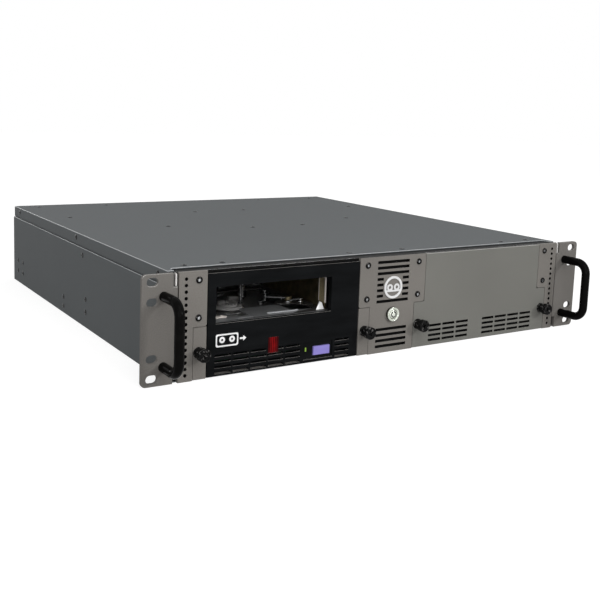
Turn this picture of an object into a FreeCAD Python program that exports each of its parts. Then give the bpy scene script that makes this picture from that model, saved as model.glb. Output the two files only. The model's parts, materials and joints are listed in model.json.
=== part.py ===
import FreeCAD, Part
import math
import os

import Sketcher
from FreeCAD import Placement, Rotation, Vector

# A two-unit, nineteen-inch rack enclosure with a cartridge tape drive on a slide-in module in its left bay
# and a blank module panel on its right bay. Millimetres: +X right, +Y towards the rear, +Z up. The origin
# is on the ground, in the middle of the overall length and width.

SIZES = {
    # enclosure
    "panel_height": 88.1, "plate_thickness": 3.0, "body_depth": 450.0, "sheet": 1.2, "seat_gap": 0.3,
    "slip": 0.2, "rear_reach": 4.0, "joggle_drop": 12.1, "cover_setback": 9.5, "bay_margin": 20.0,
    "cover_recess": 9.5, "cover_ear": 6.0, "recess_corner": 3.0,
    # bays and front plates
    "drive_width": 146.0, "module_wall": 1.0, "tab_width": 12.0, "centre_half": 25.2, "bay_step": 43.4,
    "plate_corner": 2.0, "seam": 0.5, "dot_inset": 6.2, "dot_radius": 1.45, "dot_first": 5.2,
    "dot_last": 5.65, "screw_inset": 17.2, "screw_rise": 7.3, "screw_drop": 7.1,
    "centre_screw_inset": 3.7, "screw_hole": 2.1, "screw_shank": 1.9, "screw_head": 2.85,
    "screw_head_height": 1.4, "screw_socket": 1.4, "screw_socket_depth": 1.0, "screw_reach": 2.6,
    # centre plate
    "vent_half": 17.9, "vent_height": 2.6, "vent_drop": 5.3, "vent_pitch": 5.08, "vent_inner": 10.8,
    "low_vent_top": 21.6, "low_vent_pitch": 5.15, "low_vent_half": 17.4,
    "badge_drop": 23.4, "badge_radius": 10.2, "badge_ring": 2.2, "badge_thickness": 0.8,
    "badge_reel": 3.2, "badge_eye": 1.4, "badge_reel_offset": 3.9, "badge_bar": 1.6,
    "button_drop": 24.4, "switch_barrel": 5.9, "switch_flange": 6.6, "switch_flange_reach": 3.2,
    "switch_barrel_depth": 24.0, "switch_nut": 8.0, "switch_nut_depth": 3.0, "button_radius": 3.9,
    "button_proud": 0.5, "button_travel": 1.5, "button_stem": 2.0, "fit_gap": 0.05,
    # ears and handles
    "ear_reach": 23.3, "ear_overlap": 6.5, "ear_notch_inset": 3.0, "ear_notch": 11.0, "ear_corner": 4.0,
    "ear_flange": 3.0, "ear_flange_depth": 38.0, "ear_flange_low": 12.0, "ear_flange_drop": 4.0,
    "slot_inset": 8.75, "slot_length": 9.5, "slot_height": 6.7, "slot_edge": 5.95,
    "slot_inner_pitch": 44.45,
    "handle_inset": 18.3, "handle_low": 13.5, "handle_drop": 16.6, "handle_radius": 4.0,
    "handle_reach": 30.0, "handle_bend": 11.0, "handle_screw": 2.5, "handle_screw_head": 4.3,
    "handle_screw_height": 3.0,
    # front frame
    "frame_web": 1.5, "frame_flange_depth": 34.0, "window_gap": 0.8, "weld_nut": 4.2,
    "weld_nut_depth": 4.5,
    # captive thumbscrews
    "thumb_inset": 5.4, "thumb_z": 22.5, "thumb_thread": 2.0, "thumb_knob": 5.6,
    "thumb_knob_length": 6.0, "thumb_groove": 0.9, "thumb_tip": 10.0, "thumb_socket": 2.0,
    "thumb_socket_depth": 2.5, "knurl_depth": 0.63, "knurl_half": 0.72,
    "ferrule_radius": 4.8, "ferrule_bore": 3.3, "ferrule_length": 5.0,
    "retainer_thickness": 0.8,
    # drive module tray
    "module_wall_top": 42.0, "module_tail": 78.0, "tab_bottom": 0.5, "tab_front": 1.5,
    "module_front": 2.7,
    # drive bezel
    "bezel_overlap": 0.7, "bezel_bottom": 0.9, "bezel_drop": 1.7, "bezel_lip": 1.3,
    "bezel_wall": 2.5, "bezel_face": 4.0, "bezel_depth": 14.0,
    "mouth_inset": 7.3, "mouth_margin": 29.1, "mouth_bottom": 44.0, "mouth_drop": 11.5,
    "window_shift": 35.0, "window_width": 10.0, "window_bottom": 14.2, "window_height": 13.3,
    "bezel_vent_inset": 7.0, "bezel_vent_land": 2.0, "bezel_vent_height": 1.8,
    "bezel_vent_top": 17.8, "bezel_row_pitch": 4.7, "vent_clear": 3.3, "last_vent_clear": 2.7,
    "control_inset": 26.1, "control_width": 30.0, "control_bottom": 3.7, "control_top": 18.3,
    "control_depth": 1.0, "lamp_inset": 3.0, "lamp_z": 12.4, "lamp_width": 1.6, "lamp_height": 3.4,
    "eject_inset": 10.2, "eject_width": 16.6, "eject_bottom": 7.0, "eject_top": 14.5,
    "eject_proud": 0.4, "eject_length": 9.0,
    # drive mechanism
    "drive_wall": 2.5, "drive_tail": 49.0, "deck_top": 31.0, "deck_thickness": 4.0,
    "lid_thickness": 1.0, "shaft_radius": 3.0, "shaft_bottom": 15.0, "motor_radius": 17.0,
    "motor_bottom": 13.0, "supply_y": 85.0, "disc_radius": 18.0, "disc_thickness": 1.2,
    "drum_radius": 13.5, "drum_low": 34.0, "drum_height": 2.4, "crown_outer": 9.3, "crown_inner": 6.3,
    "crown_height": 2.6, "crown_tooth_gap": 1.2,
    "takeup_shift": 12.4, "takeup_gap": 48.0, "takeup_radius": 35.0, "takeup_hub": 17.0,
    "tape_low": 34.2, "tape_height": 13.0, "flange_thickness": 1.2,
    "post_radius": 1.5, "post_top": 53.0, "roller_radius": 4.8, "roller_flange": 6.2,
    "roller_rim": 1.0, "post_shoulder": 3.0,
    "head_inset": 11.4, "head_lead": 11.0, "head_width": 17.0, "head_back": 4.25,
    "head_length": 18.0, "head_low": 36.0,
    "head_height": 12.0, "head_rod_gap": 5.0, "rod_radius": 2.0, "rod_top": 60.0, "screw_radius": 1.5,
    "stepper_radius": 7.0,
    "receiver_wall": 1.0, "receiver_drop": 7.0, "receiver_front": 5.0, "receiver_tail": 30.0,
    "receiver_lip": 11.0, "receiver_ledge": 8.0, "receiver_ear": 13.0, "receiver_setback": 5.0,
    "guide_reach": 8.0, "guide_near": 40.0, "guide_inset": 20.0,
    "arm_inset": 31.4, "arm_shift": 21.0, "arm_length": 19.0, "arm_width": 5.0, "arm_thickness": 2.0,
    "arm_hub": 4.0, "arm_tip": 3.0, "arm_lift": 0.5, "board_z": 8.0, "board_thickness": 1.6,
    "plug_width": 60.0, "plug_height": 14.0, "plug_depth": 9.0, "plug_z": 24.0,
    # bays
    "divider_gap": 2.4, "divider_front": 10.3, "divider_tail": 2.0, "divider_drop": 1.5,
    "rail_gap": 2.2, "rail_foot": 14.0, "rail_top": 60.0,
    "backplane_gap": 10.0, "backplane_inset": 16.8, "backplane_drop": 8.9,
    # rear section
    "supply_inset": 8.8, "supply_width": 138.0, "supply_gap": 26.0, "supply_drop": 18.9,
    "inlet_inset": 28.0, "inlet_drop": 24.0, "inlet_width": 27.0, "inlet_height": 47.0,
    "inlet_proud": 2.6, "inlet_depth": 20.0, "rocker_width": 12.0, "rocker_height": 18.0,
    "pin_spread": 7.0, "pin_rise": 3.0,
    "fan_size": 60.0, "fan_depth": 25.0, "fan_bore": 28.5, "fan_hub": 14.0, "fan_blade": 27.0,
    "fan_near_x": 60.0, "fan_far_x": 140.0, "guard_wire": 0.9,
    "port_width": 46.0, "port_height": 9.0, "port_inset": 60.0, "port_low": 22.0, "port_high": 50.0,
    "port_board_depth": 48.0,
    # blank module panel
    "blank_vent_length": 15.1, "blank_vent_pitch": 17.05, "blank_vent_height": 2.2,
    "blank_vent_top": 19.2, "blank_row_pitch": 4.65, "blank_vent_inset": 7.5,
    "blank_vent_margin": 7.15, "blank_return": 18.0,
    # small screws
    "small_head": 2.6, "small_head_height": 0.5, "flange_screw_drop": 5.1,
}

DOTS = 16
BEZEL_COLUMNS = 5
VENT_ROWS = 4
CROWN_TEETH = 20
KNURLS = 20
BLADES = 7
NEAR_COLUMNS = 3
FAR_COLUMNS = 4
ROCKER_LEAN = -8.0
# the rocker's waist and its inner ends, as shares of its thickness and height
ROCKER_WAIST = 0.75
ROCKER_BACK = 0.6
BLADE_LEAN = 32.0
ARM_ANGLE = 47.0

doc = FreeCAD.newDocument("tape_drive_enclosure")


class Dim:
    """A length together with the sheet formula that gives it."""

    def __init__(self, value, text):
        self.value = float(value)
        self.text = text

    def __add__(self, other):
        other = dim(other)
        return Dim(self.value + other.value, "(%s + %s)" % (self.text, other.text))

    def __sub__(self, other):
        other = dim(other)
        return Dim(self.value - other.value, "(%s - %s)" % (self.text, other.text))

    def __mul__(self, factor):
        factor = dim(factor)
        return Dim(self.value * factor.value, "%s * %s" % (self.text, factor.text))

    def __truediv__(self, factor):
        factor = dim(factor)
        return Dim(self.value / factor.value, "%s / %s" % (self.text, factor.text))

    def __neg__(self):
        return self * -1

    def __radd__(self, other):
        return dim(other) + self

    def __rsub__(self, other):
        return dim(other) - self

    __rmul__ = __mul__


def dim(value):
    return value if isinstance(value, Dim) else Dim(value, "(%r)" % value)


class Sizes:
    """The driving sheet; each size is an attribute that holds its Dim."""

    def __init__(self, table):
        sheet = doc.addObject("Spreadsheet::Sheet", "Sizes")
        for row, (name, value) in enumerate(table.items(), 1):
            sheet.set("A%d" % row, name)
            sheet.set("B%d" % row, str(value))
            sheet.setAlias("B%d" % row, name)
            setattr(self, name, Dim(value, "Sizes." + name))
        doc.recompute()


s = Sizes(SIZES)
ZERO = dim(0)
# distance of the front plates' faces from the origin
front = (s.handle_reach + s.handle_radius - s.body_depth - s.rear_reach) / 2
back = front + s.body_depth


def follow():
    """Sizes that follow from the driving ones, from the drive outwards and from the front backwards."""
    # widths, each half of its own piece, about the bay's middle or the enclosure's
    s.drive_half = s.drive_width / 2
    s.module_half = s.drive_half + s.slip + s.module_wall
    s.bay_high_half = s.module_half + s.slip
    s.bay_low_half = s.bay_high_half + s.tab_width
    s.bay_offset = s.centre_half + s.bay_low_half
    s.body_half = s.bay_offset + s.bay_low_half + s.bay_margin
    s.edge = s.body_half + s.ear_reach
    s.wall_inner = s.body_half - s.sheet
    s.joggle_outer = s.wall_inner - s.sheet - s.slip * 2
    s.bezel_half = s.drive_half + s.bezel_overlap
    s.tab_half = s.bay_low_half - s.slip * 2
    s.tab_inner = s.module_half + s.slip * 2
    s.window_half = s.bay_high_half + s.window_gap
    s.frame_half = s.wall_inner - s.ear_flange - s.slip * 2
    # columns on the front
    s.ear_inner = s.body_half - s.ear_overlap
    s.ear_notch_x = s.body_half - s.ear_notch_inset
    s.plate_outer = s.ear_inner - s.seam * 2
    s.dot_column = s.plate_outer - s.dot_inset
    s.screw_column = s.plate_outer - s.screw_inset
    s.centre_screw_column = s.centre_half + s.centre_screw_inset
    s.thumb_offset = s.bay_low_half - s.thumb_inset
    s.slot_x = s.edge - s.slot_inset
    s.handle_x = s.edge - s.handle_inset
    # heights
    s.cover_under = s.panel_height - s.sheet
    s.joggle_height = s.panel_height - s.joggle_drop
    s.frame_top = s.panel_height - s.slip
    s.window_top = s.cover_under - s.sheet
    s.bezel_top = s.window_top - s.slip
    s.bezel_body_top = s.window_top - s.bezel_drop
    s.lid_under = s.bezel_body_top - s.lid_thickness
    s.tab_top = s.bay_step - s.seam
    s.blank_top = s.panel_height - s.seam
    s.dot_pitch = (s.panel_height - s.dot_first - s.dot_last) / (DOTS - 1)
    s.screw_low = s.bay_step + s.screw_rise
    s.screw_high = s.panel_height - s.screw_drop
    s.vent_top = s.panel_height - s.vent_drop
    s.badge_z = s.vent_top - s.badge_drop
    s.button_z = s.badge_z - s.button_drop
    s.ear_flange_high = s.joggle_height - s.ear_flange_drop
    s.slot_outer_pitch = s.panel_height - s.slot_edge * 2
    s.handle_high = s.panel_height - s.handle_drop
    s.flange_screw_z = s.panel_height - s.flange_screw_drop
    # on the bezel, counted to the left from the enclosure's middle
    bezel_left = s.bay_offset + s.bezel_half
    bezel_right = s.bay_offset - s.bezel_half
    s.mouth_left = bezel_left - s.mouth_inset
    s.mouth_right = bezel_right + s.mouth_margin
    s.mouth_top = s.bezel_top - s.mouth_drop
    s.panel_right = bezel_right + s.control_inset
    s.panel_left = s.panel_right + s.control_width
    s.lamp_x = s.panel_left - s.lamp_inset
    s.eject_left = s.panel_left - s.eject_inset
    s.eject_right = s.eject_left - s.eject_width
    s.window_left = s.panel_left + s.window_shift
    s.window_right = s.window_left - s.window_width
    s.bezel_vent_left = bezel_left - s.bezel_vent_inset
    vent_run = s.bezel_vent_left - s.panel_left - s.vent_clear
    s.bezel_vent_pitch = (vent_run + s.bezel_vent_land) / BEZEL_COLUMNS
    s.bezel_vent_length = s.bezel_vent_pitch - s.bezel_vent_land
    s.last_vent_left = s.panel_right - s.last_vent_clear
    # in the drive
    drive_right = s.bay_offset - s.drive_half
    s.supply_x = (s.mouth_left + s.mouth_right) / 2
    s.takeup_x = s.bay_offset + s.takeup_shift
    s.head_x = drive_right + s.head_inset
    s.arm_x = drive_right + s.arm_inset
    s.arm_y = s.supply_y + s.arm_shift
    s.receiver_left = s.mouth_left + s.seat_gap * 2
    s.receiver_right = s.mouth_right - s.receiver_wall
    s.receiver_floor = s.mouth_bottom - s.receiver_wall
    s.receiver_top = s.lid_under - s.receiver_drop
    s.receiver_back = s.supply_y + s.receiver_tail
    s.guide_x = s.receiver_right - s.guide_reach
    s.guide_far = s.receiver_back - s.guide_inset
    s.takeup_y = s.receiver_back + s.takeup_gap
    s.head_y = s.takeup_y - s.head_lead
    s.drive_depth = s.takeup_y + s.drive_tail
    # behind the drive
    s.module_depth = s.drive_depth + s.module_tail
    s.backplane_y = s.module_depth + s.backplane_gap
    s.backplane_half = s.wall_inner - s.backplane_inset
    s.backplane_top = s.cover_under - s.backplane_drop
    s.divider_half = s.bay_offset - s.module_half - s.divider_gap
    s.divider_back = s.backplane_y - s.divider_tail
    s.divider_top = s.cover_under - s.divider_drop
    s.rail_x = s.bay_offset + s.module_half + s.rail_gap
    s.supply_right = s.wall_inner - s.supply_inset
    s.supply_left = s.supply_right - s.supply_width
    s.supply_front = s.backplane_y + s.supply_gap
    s.supply_top = s.cover_under - s.supply_drop
    s.inlet_x = s.supply_right - s.inlet_inset
    s.inlet_z = s.supply_top - s.inlet_drop
    s.fan_z = (s.sheet + s.cover_under) / 2
    s.port_x = s.supply_left - s.port_inset
    # on the blank panel
    s.blank_vent_near = s.bay_offset - s.bay_high_half + s.blank_vent_inset
    far_run = s.blank_vent_pitch * (FAR_COLUMNS - 1) + s.blank_vent_length
    s.blank_vent_far = s.bay_offset + s.bay_high_half - s.blank_vent_margin - far_run


follow()
nodes = {}


# ---- helpers ---------------------------------------------------------------------------------------------

def bind(obj, prop, value):
    obj.setExpression(prop, dim(value).text)


def place(obj, x, y, z, rotation=None):
    obj.Placement = Placement(Vector(), rotation or Rotation())
    for axis, value in zip("xyz", (x, y, z)):
        bind(obj, "Placement.Base." + axis, value)
    return obj


def keep(label, obj):
    """Names a finished sub-part; its label is its file's name."""
    obj.Label = label
    nodes[label] = obj
    return obj


def block(xs, ys, zs):
    box = doc.addObject("Part::Box", "block")
    for prop, (low, high) in zip(("Length", "Width", "Height"), (xs, ys, zs)):
        bind(box, prop, high - low)
    return place(box, xs[0], ys[0], zs[0])


TURN = {"x": Rotation(Vector(0, 1, 0), 90), "y": Rotation(Vector(1, 0, 0), -90), "z": Rotation()}


def rod(axis, at, radius, span):
    """A cylinder along an axis; at holds its other two coordinates in x, y, z order."""
    cylinder = doc.addObject("Part::Cylinder", "rod")
    bind(cylinder, "Radius", radius)
    bind(cylinder, "Height", span[1] - span[0])
    base = list(at)
    base.insert("xyz".index(axis), span[0])
    return place(cylinder, *base, rotation=TURN[axis])


def fuse(*pieces):
    union = doc.addObject("Part::MultiFuse", "union")
    union.Shapes = list(pieces)
    union.Refine = True
    return union


def cut(base, *tools):
    result = doc.addObject("Part::Cut", "cut")
    result.Base = base
    result.Tool = tools[0] if len(tools) == 1 else fuse(*tools)
    return result


def group(pieces):
    compound = doc.addObject("Part::Compound", "group")
    compound.Links = list(pieces)
    return compound


def tube(axis, at, radius, bore, span):
    return cut(rod(axis, at, radius, span), rod(axis, at, bore, span))


def new_body(label):
    return keep(label, doc.addObject("PartDesign::Body", label))


# Which way a sketch's normal points along its own axis, on the body's three origin planes.
PLANES = {"front": ("XZ_Plane", -1), "side": ("YZ_Plane", 1), "plan": ("XY_Plane", 1)}


def add_sketch(body, plane, level, loops):
    """A fully bound sketch: a loop is a list of corner points, or a (u, v, radius) circle."""
    role, sign = PLANES[plane]
    sketch = body.newObject("Sketcher::SketchObject", "sketch")
    origin_plane = next(item for item in body.Origin.OriginFeatures if item.Role == role)
    sketch.AttachmentSupport = [(origin_plane, "")]
    sketch.MapMode = "FlatFace"
    bind(sketch, "AttachmentOffset.Base.z", dim(level) * sign)

    def pin(geometry, vertex, point):
        for kind, value in zip(("DistanceX", "DistanceY"), point):
            value = dim(value)
            rule = Sketcher.Constraint(kind, -1, 1, geometry, vertex, value.value)
            bind(sketch, "Constraints[%d]" % sketch.addConstraint(rule), value)

    for loop in loops:
        if isinstance(loop, tuple):
            centre = Vector(dim(loop[0]).value, dim(loop[1]).value, 0)
            circle = Part.Circle(centre, Vector(0, 0, 1), dim(loop[2]).value)
            index = sketch.addGeometry(circle, False)
            rule = Sketcher.Constraint("Radius", index, dim(loop[2]).value)
            bind(sketch, "Constraints[%d]" % sketch.addConstraint(rule), loop[2])
            pin(index, 3, loop[:2])
            continue
        points = [Vector(dim(u).value, dim(v).value, 0) for u, v in loop]
        first = sketch.GeometryCount
        count = len(points)
        for i in range(count):
            sketch.addGeometry(Part.LineSegment(points[i], points[(i + 1) % count]), False)
        for i in range(count):
            follower = first + (i + 1) % count
            sketch.addConstraint(Sketcher.Constraint("Coincident", first + i, 2, follower, 1))
        for i in range(count):
            pin(first + i, 1, loop[i])
    return sketch


def pad(body, plane, span, loops):
    sign = PLANES[plane][1]
    sketch = add_sketch(body, plane, span[0] if sign > 0 else span[1], loops)
    feature = body.newObject("PartDesign::Pad", "pad")
    feature.Profile = sketch
    bind(feature, "Length", span[1] - span[0])
    body.Tip = feature
    return feature


def pocket(body, plane, span, loops):
    sign = PLANES[plane][1]
    sketch = add_sketch(body, plane, span[1] if sign > 0 else span[0], loops)
    feature = body.newObject("PartDesign::Pocket", "pocket")
    feature.Profile = sketch
    bind(feature, "Length", span[1] - span[0])
    body.Tip = feature
    return feature


def revolve(body, outline):
    """Turns a half profile of (radius, height) points about the body's own Z axis."""
    sketch = add_sketch(body, "front", ZERO, [outline])
    feature = body.newObject("PartDesign::Revolution", "turned")
    feature.Profile = sketch
    feature.ReferenceAxis = (sketch, ["V_Axis"])
    feature.Angle = 360
    body.Tip = feature
    return feature


def row_of(body, feature, axis, count, pitch):
    pattern = body.newObject("PartDesign::LinearPattern", "row")
    pattern.Originals = [feature]
    pattern.Direction = (feature.Profile[0], [axis])
    bind(pattern, "Length", pitch * (count - 1))
    pattern.Occurrences = count
    body.Tip = pattern
    return pattern


def ring_of(body, feature, count):
    """Repeats a feature about its sketch's normal."""
    pattern = body.newObject("PartDesign::PolarPattern", "ring")
    pattern.Originals = [feature]
    pattern.Axis = (feature.Profile[0], ["N_Axis"])
    pattern.Angle = 360
    pattern.Occurrences = count
    body.Tip = pattern
    return pattern


def round_edges(body, radius, wanted):
    """Fillets the edges along Y of the body's tip whose ends both satisfy wanted(point)."""
    doc.recompute()
    tip = body.Tip
    names = []
    for number, edge in enumerate(tip.Shape.Edges, 1):
        ends = [vertex.Point for vertex in edge.Vertexes]
        along_y = len(ends) == 2 and near(ends[0].x, ends[1].x) and near(ends[0].z, ends[1].z)
        if along_y and all(wanted(point) for point in ends):
            names.append("Edge%d" % number)
    feature = body.newObject("PartDesign::Fillet", "rounding")
    feature.Base = (tip, names)
    bind(feature, "Radius", radius)
    body.Tip = feature


def rect(u0, u1, v0, v1):
    return [(u0, v0), (u1, v0), (u1, v1), (u0, v1)]


def slot_rect(left, length, middle, height):
    return rect(left, left + length, middle - height / 2, middle + height / 2)


def near(value, size):
    return abs(value - dim(size).value) < 0.01


def sided(side, low, high):
    """A span on one side of the middle, given for the right-hand side."""
    return (low, high) if side > 0 else (-high, -low)


def mirrored(side, outline):
    return [(u * side, v) for u, v in outline]


SIDES = {"left": -1, "right": 1}
plate_back = front + s.plate_thickness
plate_span = (front, plate_back)
web_back = plate_back + s.frame_web
inner_high = s.bay_offset + s.bay_high_half
inner_low = s.bay_offset + s.bay_low_half
bay_centre = -s.bay_offset


# ---- chassis ---------------------------------------------------------------------------------------------

def base_tray():
    half = s.body_half
    rim = s.panel_height - s.sheet - s.slip
    right = [(half, ZERO), (half, s.joggle_height), (s.joggle_outer, s.joggle_height), (s.joggle_outer, rim),
             (s.joggle_outer - s.sheet, rim), (s.joggle_outer - s.sheet, s.joggle_height - s.sheet),
             (s.wall_inner, s.joggle_height - s.sheet), (s.wall_inner, s.sheet)]
    left = [(-u, v) for u, v in reversed(right)]
    body = new_body("base_tray")
    pad(body, "front", (plate_back, back - s.sheet), [right + left])


def top_cover():
    half = s.joggle_outer + s.slip + s.sheet
    low = s.joggle_height + s.seat_gap
    outline = [(-half, low), (-half, s.panel_height), (half, s.panel_height), (half, low),
               (half - s.sheet, low), (half - s.sheet, s.cover_under), (s.sheet - half, s.cover_under),
               (s.sheet - half, low)]
    body = new_body("top_cover")
    cover_front = front + s.cover_setback
    pad(body, "front", (cover_front, back - s.seat_gap), [outline])
    edge, recess_back = half - s.cover_ear, cover_front + s.cover_recess
    corner = [(edge, cover_front), (edge, recess_back - s.recess_corner),
              (edge - s.recess_corner, recess_back)]
    recess = corner + [(-u, v) for u, v in reversed(corner)]
    pocket(body, "plan", (s.cover_under, s.panel_height), [recess])


def front_frame():
    left, right = s.bay_offset - s.window_half, s.bay_offset + s.window_half
    half = [(left, s.sheet), (left, s.window_top), (right, s.window_top), (right, s.sheet),
            (s.frame_half, s.sheet), (s.frame_half, s.frame_top)]
    outline = half + [(-u, v) for u, v in reversed(half)]
    body = new_body("front_frame")
    pad(body, "front", (plate_back, web_back), [outline])
    flange = rect(-s.frame_half, s.frame_half, s.window_top, s.cover_under)
    pad(body, "front", (web_back, front + s.frame_flange_depth), [flange])
    columns = [s.bay_offset + s.thumb_offset, s.bay_offset - s.thumb_offset]
    thumbs = [(x * side, s.thumb_z) for x in columns for side in SIDES.values()]
    for x, z in thumbs:
        pad(body, "front", (web_back, web_back + s.weld_nut_depth), [(x, z, s.weld_nut)])
    bores = [(x, z, s.thumb_thread + s.fit_gap) for x, z in thumbs]
    pocket(body, "front", (plate_back, web_back + s.weld_nut_depth), bores)
    screws = [(x * side, z, s.screw_hole) for x in (s.screw_column, s.centre_screw_column)
              for z in (s.screw_low, s.screw_high) for side in SIDES.values()]
    barrel = (ZERO, s.button_z, s.switch_nut + s.slip)
    pocket(body, "front", (plate_back, web_back), screws + [barrel])


def side_plate(label, side):
    outline = [(inner_high, s.panel_height), (s.plate_outer, s.panel_height), (s.plate_outer, ZERO),
               (inner_low, ZERO), (inner_low, s.bay_step), (inner_high, s.bay_step)]
    body = new_body(label)
    pad(body, "front", plate_span, [mirrored(side, outline)])
    round_edges(body, s.plate_corner,
                lambda p: near(abs(p.x), inner_high) and near(p.z, s.bay_step))
    screws = [(s.screw_column * side, z, s.screw_hole) for z in (s.screw_low, s.screw_high)]
    pocket(body, "front", plate_span, screws)
    dot = pocket(body, "front", plate_span, [(s.dot_column * side, s.dot_first, s.dot_radius)])
    row_of(body, dot, "V_Axis", DOTS, s.dot_pitch)


def centre_plate():
    high, low = s.bay_offset - s.bay_high_half, s.bay_offset - s.bay_low_half
    half = [(low, ZERO), (low, s.bay_step), (high, s.bay_step), (high, s.panel_height)]
    outline = half + [(-u, v) for u, v in reversed(half)]
    body = new_body("centre_plate")
    pad(body, "front", plate_span, [outline])
    round_edges(body, s.plate_corner, lambda p: near(abs(p.x), high) and near(p.z, s.bay_step))
    screws = [(s.centre_screw_column * side, z, s.screw_hole)
              for z in (s.screw_low, s.screw_high) for side in SIDES.values()]
    barrel = (ZERO, s.button_z, s.switch_barrel + s.fit_gap)
    pocket(body, "front", plate_span, screws + [barrel])
    full = s.vent_half * 2
    short = s.vent_half - s.vent_inner
    rows = []
    for number in range(8):
        z = s.vent_top - s.vent_pitch * number
        if 3 <= number <= 6:
            rows += [slot_rect(left, short, z, s.vent_height) for left in (-s.vent_half, s.vent_inner)]
        else:
            rows.append(slot_rect(-s.vent_half, full, z, s.vent_height))
    pocket(body, "front", plate_span, rows)
    top = slot_rect(-s.low_vent_half, s.low_vent_half * 2, s.low_vent_top, s.vent_height)
    lower = pocket(body, "front", plate_span, [top])
    pattern = row_of(body, lower, "V_Axis", VENT_ROWS, s.low_vent_pitch)
    pattern.Reversed = True


def ear(label, side):
    edge = s.edge
    high = s.panel_height - s.ear_notch
    outline = [(s.ear_inner, s.ear_notch), (s.ear_notch_x, s.ear_notch), (s.ear_notch_x, ZERO),
               (edge, ZERO), (edge, s.panel_height), (s.ear_notch_x, s.panel_height),
               (s.ear_notch_x, high), (s.ear_inner, high)]
    body = new_body(label)
    pad(body, "front", plate_span, [mirrored(side, outline)])
    flange = rect(s.wall_inner - s.ear_flange, s.wall_inner, s.ear_flange_low, s.ear_flange_high)
    pad(body, "front", (plate_back, front + s.ear_flange_depth), [mirrored(side, flange)])
    round_edges(body, s.ear_corner, lambda p: near(abs(p.x), edge))
    middle = s.panel_height / 2
    rows = [middle + pitch * half for pitch in (s.slot_outer_pitch, s.slot_inner_pitch)
            for half in (-0.5, 0.5)]
    reach = (s.slot_length - s.slot_height) / 2
    flats = [mirrored(side, rect(s.slot_x - reach, s.slot_x + reach, z - s.slot_height / 2,
                                 z + s.slot_height / 2)) for z in rows]
    pocket(body, "front", plate_span, flats)
    for end in (-reach, reach):
        ends = [((s.slot_x + end) * side, z, s.slot_height / 2) for z in rows]
        pocket(body, "front", plate_span, ends)
    holes = [(s.handle_x * side, z, s.handle_screw + s.slip) for z in (s.handle_low, s.handle_high)]
    pocket(body, "front", plate_span, holes)


def handle(label, side):
    """A round bar bent twice, standing off the ear."""
    x = s.handle_x * side
    grip = front - s.handle_reach
    pieces = [rod("z", (x, grip), s.handle_radius,
                  (s.handle_low + s.handle_bend, s.handle_high - s.handle_bend))]
    for foot, way in ((s.handle_low, -1), (s.handle_high, 1)):
        pieces.append(rod("y", (x, foot), s.handle_radius, (grip + s.handle_bend, front)))
        bend = doc.addObject("Part::Torus", "bend")
        bind(bend, "Radius1", s.handle_bend)
        bind(bend, "Radius2", s.handle_radius)
        bend.Angle3 = 90
        turn = Rotation(Vector(0, 0, way), Vector(0, -1, 0), Vector(way, 0, 0), "XYZ")
        pieces.append(place(bend, x, grip + s.handle_bend, foot - s.handle_bend * way, turn))
    keep(label, fuse(*pieces))


def handle_screws():
    """From behind each ear into the handle's two feet."""
    pieces = []
    for side in SIDES.values():
        for z in (s.handle_low, s.handle_high):
            at = (s.handle_x * side, z)
            shank = rod("y", at, s.handle_screw, (front, plate_back))
            head = rod("y", at, s.handle_screw_head, (plate_back, plate_back + s.handle_screw_height))
            pieces.append(fuse(shank, head))
    return pieces


def plate_screws():
    """Socket screws that hold the three fixed plates to the frame behind them."""
    pieces = []
    for x in (s.screw_column, s.centre_screw_column):
        for side in SIDES.values():
            for z in (s.screw_low, s.screw_high):
                at = (x * side, z)
                top = front - s.screw_head_height
                head = rod("y", at, s.screw_head, (top, front))
                shank = rod("y", at, s.screw_shank, (front, web_back + s.screw_reach))
                socket = doc.addObject("Part::Prism", "socket")
                socket.Polygon = 6
                bind(socket, "Circumradius", s.screw_socket)
                bind(socket, "Height", s.screw_socket_depth)
                place(socket, at[0], top, at[1], TURN["y"])
                pieces.append(cut(fuse(head, shank), socket))
    keep("plate_screws", group(pieces))


def small_screw(axis, x, y, z, way):
    """A low round head that stands on a panel; way is the side that it faces along its axis."""
    centre = {"x": x, "y": y, "z": z}
    level = centre.pop(axis)
    span = (level, level + s.small_head_height) if way > 0 else (level - s.small_head_height, level)
    return rod(axis, list(centre.values()), s.small_head, span)


COVER_SCREWS = [(0.862, 0.735), (0.525, 0.52), (0.15, 0.75), (0.145, 0.445), (0.89, 0.06), (0.73, 0.06),
                (0.14, 0.06), (0.5, 0.96), (0.88, 0.96)]
FLANGE_SCREWS = (0.06, 0.5, 0.95)


def cover_screws():
    """Places are shares of the cover's half width and of the enclosure's depth."""
    half = s.body_half
    pieces = []
    for side in SIDES.values():
        for across, along in COVER_SCREWS:
            pieces.append(small_screw("z", half * across * side, front + s.body_depth * along,
                                      s.panel_height, 1))
        for along in FLANGE_SCREWS:
            pieces.append(small_screw("x", (s.joggle_outer + s.slip + s.sheet) * side,
                                      front + s.body_depth * along, s.flange_screw_z, side))
    keep("cover_screws", group(pieces))


WALL_SCREWS = [(0.449, 0.783), (0.913, 0.153), (0.958, 0.153), (0.913, 0.29), (0.958, 0.29), (0.429, 0.17),
               (0.429, 0.312), (0.578, 0.08), (0.578, 0.19)]


def side_screws():
    """Places are shares of the enclosure's depth and height."""
    pieces = handle_screws()
    for side in SIDES.values():
        for along, up in WALL_SCREWS:
            pieces.append(small_screw("x", s.body_half * side, front + s.body_depth * along,
                                      s.panel_height * up, side))
    keep("side_screws", group(pieces))


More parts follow.
